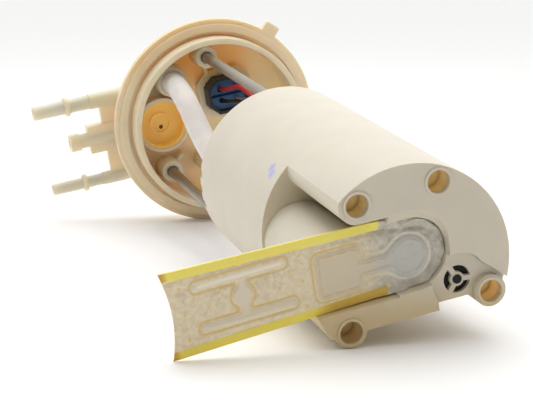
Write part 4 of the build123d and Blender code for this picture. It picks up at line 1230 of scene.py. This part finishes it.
    def halves(self, grid: BagGrid) -> tuple[np.ndarray, np.ndarray]:
        """Half thickness of the bag to its front and to its back, without its folds.

        Args:
            grid: the bag's grid.

        Returns:
            Front half, with the curled edge, and back half.
        """
        half = self.edge / 2 + (self.body - self.edge) / 2 * smoothstep(
            self.band, self.band + self.puff, grid.across
        )
        half *= smoothstep(*self.tip_pinch, grid.from_tip) * (1 - self.tip_share) + self.tip_share
        at_end = grid.x > self.end[0]
        rounded = half * smoothstep(*self.end_pinch, grid.end_gap) + self.end_edge
        half = np.where(at_end, rounded, half)
        edge_gap = np.where(at_end, grid.end_gap, grid.across)
        curl = self.curl * smoothstep(*self.curl_across, edge_gap)
        return half + curl * smoothstep(*self.curl_along, grid.x), half - self.back_inset

    def relief_height(self, grid: BagGrid, folds: np.ndarray) -> np.ndarray:
        """Height of the front over its half thickness.

        Args:
            grid: the bag's grid.
            folds: height of the wrinkles and crinkles.

        Returns:
            Array of heights.
        """
        lift = self.relief * smoothstep(*self.relief_span, grid.moulding)
        lift -= self.groove * bell(grid.moulding, *self.groove_at)
        lift += folds * self.slack(grid)
        lift += self.bead * bell(grid.moulding, *self.bead_at) * (grid.x > self.plate_from)
        lift += sum(rib.rise(grid.x, grid.y) for rib in self.ribs)
        return lift * (1 - grid.on_band) + self.band_rise * grid.on_band

    def middle(self, grid: BagGrid) -> np.ndarray:
        """Middle plane of the bag, which rises to the round end and bows at the tip.

        Args:
            grid: the bag's grid.

        Returns:
            Array of heights above the reservoir's bottom.
        """
        slope = (self.end_h - self.tip_h) / (self.end[0] - self.tip_x)
        bow = self.bow * smoothstep(self.tip_x + self.bow_length, self.tip_x, grid.x) * grid.hump
        return self.tip_h + slope * (grid.x - self.tip_x) - bow

    def faces(self) -> list[Sequence[int]]:
        """Joins the points of the front and the back into one closed skin.

        Returns:
            Vertex indices of each face; the back's points follow the front's.
        """
        index = np.arange(self.columns * self.rows).reshape(self.columns, self.rows)
        corners = (index[:-1, :-1], index[1:, :-1], index[1:, 1:], index[:-1, 1:])
        quads = np.stack(corners, -1).reshape(-1, 4)
        shift = index.size
        border = [*index[:, 0], *index[-1, 1:], *index[::-1, -1][1:], *index[0, ::-1][1:-1]]
        closing = [(b, a, a + shift, b + shift) for a, b in zip(border, border[1:] + border[:1])]
        return [*quads.tolist(), *(quads[:, ::-1] + shift).tolist(), *closing]

    def build(self) -> None:
        """Builds the bag as one closed mesh with the attributes its material reads."""
        grid = self.grid()
        folds = self.folds(grid)
        front, back = self.halves(grid)
        front = front + self.relief_height(grid, folds)
        back = back + self.wrinkle_on_back * folds * (1 - grid.on_band)
        middle = self.middle(grid)
        sides = [
            np.stack([v.ravel() for v in (grid.x, grid.y, height)], 1)
            for height in (middle - front, middle + back)
        ]
        bag = new_object("strainer_bag_shown", to_row(np.concatenate(sides)), self.faces())
        self.mark(bag, grid)
        bag.data.materials.append(self.palette.get(self.finish.base, self.finish.dress))
        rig.replaces(bag, "strainer_bag", "strainer_edge_bands", "strainer_frame")
        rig.slot(bag, "strainer_mesh")
        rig.ride(bag, Body.RESERVOIR.value)
        LOG.info("strainer bag: %d vertices", len(bag.data.vertices))

    def dots(self, x: np.ndarray, y: np.ndarray) -> np.ndarray:
        """Small weld points on a slanted lattice.

        Args:
            x: places along the bag.
            y: places across it.

        Returns:
            Array that is 1 on a point and 0 off it.
        """
        row = np.round(y / self.dot_row)
        shift = row * self.dot_slant
        nearest = np.round((x - shift) / self.dot_pitch) * self.dot_pitch + shift
        return smoothstep(*self.dot_span, np.hypot(x - nearest, y - row * self.dot_row))

    def mark(self, bag: bpy.types.Object, grid: BagGrid) -> None:
        """Stores where the finish changes; the back carries the bands alone.

        Args:
            bag: the bag's object.
            grid: the bag's grid.
        """
        x, y, gap, band = grid.x, grid.y, grid.moulding, grid.on_band
        free = 1 - band
        moulded = smoothstep(*self.moulded_span, gap)
        # Darker free tip of the bands, and painted shade on the lower band by the neck, in the channel.
        tip_darkening = smoothstep(*(self.tip_x + v for v in self.dark_tip), x)
        neck_shading = self.neck_shade_share * smoothstep(*self.neck_shade, x) * (y < self.neck_shade_below)
        waves = np.sin(x * self.dash_wave) * np.sin(y * self.dash_wave + self.dash_phase)
        dashes = bell(gap, *self.dash_at) * (waves > self.dash_gap)
        # Painted highlight: a light stripe along the upper bar's rib.
        rib = self.ribs[0]
        painted_highlight = smoothstep(*self.highlight_across, np.abs(y - rib.y))
        painted_highlight *= smoothstep(*self.highlight_along, np.abs(x - rib.x))
        bars = (1 - self.highlight_share) * moulded * smoothstep(*self.bars_span, x)
        dots = self.dots(x, y) * self.slack(grid) * smoothstep(*self.dots_span, x)
        for name, front in {
            "line": bell(gap, *self.seam_at) * free,
            "band": band,
            "dark_tip_and_neck_shade": band * np.clip(tip_darkening + neck_shading, 0, 1),
            "dashes": dashes * (x > self.plate_from) * free,
            "moulded": moulded * free,
            "dots": dots * free,
            "bars": (bars + self.highlight_share * painted_highlight) * free,
            "near_end": smoothstep(*self.near_end, x),
            "lower_band": band * smoothstep(*self.lower_band, y),
        }.items():
            values = front.astype(np.float32).ravel()
            layer = bag.data.attributes.new(name, "FLOAT", "POINT")
            layer.data.foreach_set("value", np.concatenate([values, values * (name == "band")]))


@dataclass
class FeedHose:
    """Corrugated hose from the cover's nipple to the pump's outlet, in module mm."""

    palette: Palette
    route: tuple[Point, ...] = (
        (-25.4, 33.0, 342.7), (-25.4, 33.0, 320.0), (-31.4, 10.0, 250.0),
        (-31.0, 3.0, 208.0), (-30.6, 0.5, 166.0), (-30.6, 0.5, 122.0),
    )
    radius: float = 7.2
    groove: float = 1.0
    pitch: float = 1.6
    sides: int = 36
    collar: tuple[Span, ...] = (
        (10.6, 357.2), (10.5, 347.5), (10.1, 345.0), (9.3, 343.6),
        (8.3, 343.1), (7.6, 343.4), (7.3, 344.6), (7.3, 357.2),
    )
    collar_sides: int = 48

    def build(self) -> None:
        """Builds the hose and bends it between the cover and the reservoir."""
        hose = TUBE.apply(
            nurbs("feed_hose_route", self.route), "feed_hose_shown", self.palette.get(HOSE),
            Radius=self.radius * MM, Groove=self.groove * MM, Pitch=self.pitch * MM,
            Sides=self.sides,
        )
        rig.replaces(hose, "feed_hose")
        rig.slot(hose, "hose_nylon")
        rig.blend(hose, "cover", "reservoir", (0, -0.030, 0), (0, -0.170, 0))
        self.build_collar()

    def build_collar(self) -> None:
        """Turns the rounded collar that stands round the hose's root on the cover."""
        x, y = self.route[0][:2]
        turn = np.linspace(0, math.tau, self.collar_sides, endpoint=False)
        points = [
            (x + r * math.cos(a), y + r * math.sin(a), h) for r, h in self.collar for a in turn
        ]
        ring = np.arange(len(points)).reshape(len(self.collar), self.collar_sides)
        after, beside = np.roll(ring, -1, 0), np.roll(ring, -1, 1)
        faces = np.stack((ring, after, np.roll(after, -1, 1), beside), -1).reshape(-1, 4)
        collar = new_object("hose_collar", to_row(np.array(points)), faces.tolist())
        collar.data.materials.append(self.palette.get(COVER))
        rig.slot(collar, "cover_acetal")
        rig.ride(collar, Body.COVER.value)
        LOG.info("hose collar: %d faces", len(faces))


@dataclass
class Wires:
    """Four insulated wires from the pass-through connector, in module mm."""

    palette: Palette
    radius: float = 1.45
    pitch: float = 12.0
    sides: int = 16
    routes: dict[str, tuple[Point, ...]] = field(default_factory=lambda: {
        "wire_red": (
            (6.3, 20.5, 352), (6.8, 21.2, 336), (13.5, 27.0, 322), (17, 21, 290),
            (11, 0, 236), (9, -28.6, 206), (8, -29.7, 170), (8, -29.7, 152.2),
        ),
        "wire_purple": (
            (17.1, 20.5, 352), (17.4, 20.8, 338), (22.5, 22.5, 322), (22, 15, 290),
            (19, 0, 236), (14, -28.6, 206), (13, -29.7, 170), (13, -29.7, 152.2),
        ),
        "wire_black": (
            (6.3, 12.7, 352), (6.5, 12.9, 338), (16, 15.5, 322), (8, 13, 275),
            (-8, 10, 230), (-17, 8, 190), (-23.53, 8.93, 148), (-23.53, 8.93, 122.3),
        ),
        "wire_grey": (
            (17.1, 12.7, 352), (17.3, 12.8, 340), (23, 13.5, 322), (12, 9, 275),
            (-4, 4, 230), (-16, -3, 190), (-23.53, -7.93, 148), (-23.53, -7.93, 122.3),
        ),
    })

    def build(self) -> None:
        """Builds each wire and bends it between the cover and the reservoir."""
        for name, route in self.routes.items():
            wire = TUBE.apply(
                nurbs(f"{name}_route", route), f"{name}_shown", self.palette.get(WIRES[name]),
                Radius=self.radius * MM, Groove=0.0, Pitch=self.pitch * MM, Sides=self.sides,
            )
            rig.replaces(wire, name)
            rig.slot(wire, name.split("_")[1] + "_wire")
            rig.blend(wire, "cover", "reservoir", (0, -0.025, 0), (0, -0.135, 0))


@dataclass
class ReturnSprings:
    """Coil springs in the reservoir's two columns, in module mm."""

    palette: Palette
    centres: dict[str, Span] = field(default_factory=lambda: {
        "return_spring_upper": (0.2, 45.0), "return_spring_lower": (-36.3, -27.1),
    })
    low: float = 80.6
    high: float = 174.2
    radius: float = 4.05
    wire: float = 0.5
    turns: float = 14.0
    sides: int = 8
    travel: float = 50.0

    def build(self) -> None:
        """Builds both springs; they shorten as the reservoir slides."""
        length = self.high - self.low
        for name, (x, y) in self.centres.items():
            carrier = new_object(f"{name}_carrier", np.empty((0, 3)), [], smooth=False)
            spring = COIL.apply(
                carrier, f"{name}_shown", self.palette.get(STEEL), Turns=self.turns,
                Mean_Radius=self.radius * MM, Wire_Radius=self.wire * MM,
                Foot=row_point(x, y, self.low + self.wire), Sides=self.sides,
                Length=(length - 2 * self.wire) * MM,
            )
            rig.replaces(spring, name)
            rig.slot(spring, "spring_steel")
            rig.ride(spring, Body.RESERVOIR.value)
            keep = 1 - self.travel / length
            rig.squash(spring, "reservoir_slide", (0, 1, 0), row_point(x, y, self.low), keep)


# --------------------------------------------------------------------------- studio
@dataclass(frozen=True)
class Softbox:
    """Square area light, in metres and watts."""

    name: str
    place: Point
    aim: Point
    size: float
    power: float
    colour: Colour = (1.0, 1.0, 1.0)

    def build(self) -> None:
        """Adds the light."""
        light = bpy.data.lights.new(self.name, "AREA")
        light.energy = self.power
        light.size = self.size
        light.color = self.colour
        holder = add_object(self.name, light)
        holder.location = self.place
        direction = Vector(self.aim) - Vector(self.place)
        holder.rotation_euler = direction.to_track_quat("-Z", "Y").to_euler()


@dataclass
class Studio:
    """Pale floor, soft light and the camera, in metres.

    floor_slope is the floor's rise for each metre along x and along y: the module lies tilted
    on three of its points, and the floor tilts under it.
    """

    palette: Palette
    place: Point = (-0.3093, -1.0240, 0.2109)
    up: Point = (0.0, 0.253, 0.967)
    forward: Point = (0.314, 0.919, -0.240)
    focal_px: float = 1600.0
    width_px: float = 533.0
    sensor_mm: float = 36.0
    clip: Span = (0.05, 60.0)
    floor_h: float = -0.06897
    floor_slope: Span = (0.045, -0.0861)
    floor_reach: float = 9.0
    floor_finish: Finish = Finish("floor_white", (0.96, 0.955, 0.945), 0.6, mottle=0.0)
    sky_lean: Point = (0.14, 0.70, 0.70)
    sky_span: Span = (-0.35, 0.75)
    sky_colours: tuple[Colour, Colour] = ((0.07, 0.058, 0.04), (1.20, 1.20, 1.21))
    lights: tuple[Softbox, ...] = (
        Softbox("overhead", (0.06, 0.10, 1.1), (0.0, -0.15, 0.0), 1.1, 5.6),
        Softbox("front_fill", (-0.7, -1.3, 0.7), (0.0, -0.2, 0.0), 0.7, 0.2, (1.0, 0.93, 0.82)),
    )

    def camera(self) -> None:
        """Camera at the view that the module is seen from."""
        data = bpy.data.cameras.new("camera")
        data.sensor_width = self.sensor_mm
        data.lens = self.sensor_mm * self.focal_px / self.width_px
        data.clip_start, data.clip_end = self.clip
        cam = add_object("camera", data)
        back = -Vector(self.forward).normalized()
        side = Vector(self.up).cross(back).normalized()
        up = back.cross(side).normalized()
        turn = Matrix((side, up, back)).transposed().to_4x4()
        cam.matrix_world = Matrix.Translation(Vector(self.place)) @ turn
        bpy.context.scene.camera = cam

    def floor(self) -> None:
        """White sheet under the module."""
        reach = self.floor_reach
        along, across = self.floor_slope
        verts = [
            (x, y, self.floor_h + along * x + across * y)
            for x, y in ((-reach, -reach), (reach, -reach), (reach, reach), (-reach, reach))
        ]
        sheet = new_object("floor", np.array(verts), [(0, 1, 2, 3)], smooth=False)
        sheet.data.materials.append(self.palette.get(self.floor_finish))
        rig.stage(sheet)

    def sky(self) -> None:
        """Bright sky from above and behind, dark from the front and below."""
        world = bpy.data.worlds.new("studio")
        bpy.context.scene.world = world
        world.use_nodes = True
        graph = Graph(world.node_tree)
        background = world.node_tree.nodes["Background"]
        lean = graph.node("ShaderNodeVectorMath", operation="DOT_PRODUCT", in_1=self.sky_lean)
        graph.link(graph.node("ShaderNodeTexCoord").outputs["Generated"], lean.inputs[0])
        amount = graph.ramp(lean.outputs["Value"], *self.sky_span)
        graph.link(graph.mix(amount, *self.sky_colours), background.inputs["Color"])
        background.inputs["Strength"].default_value = 1.0

    def build(self) -> None:
        """Sets the whole studio up."""
        self.camera()
        self.floor()
        self.sky()
        for light in self.lights:
            light.build()
        bpy.context.scene.view_settings.view_transform = "Standard"


def write_size(stage: str) -> None:
    """Records the object's box before and after the pieces are added.

    Args:
        stage: "loaded" or "finished".
    """
    low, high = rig.bounds()
    known = json.loads(SIZE_FILE.read_text()) if SIZE_FILE.exists() and stage != "loaded" else {}
    known[stage] = {"low": list(low), "high": list(high)}
    SIZE_FILE.write_text(json.dumps(known, indent=1))


def main() -> None:
    """Builds the look on the frame."""
    write_size("loaded")
    palette = Palette()
    CadNodes(palette).dress()
    Strainer(palette).build()
    FeedHose(palette).build()
    Wires(palette).build()
    ReturnSprings(palette).build()
    Studio(palette).build()
    write_size("finished")


if __name__ == "__main__":
    main()
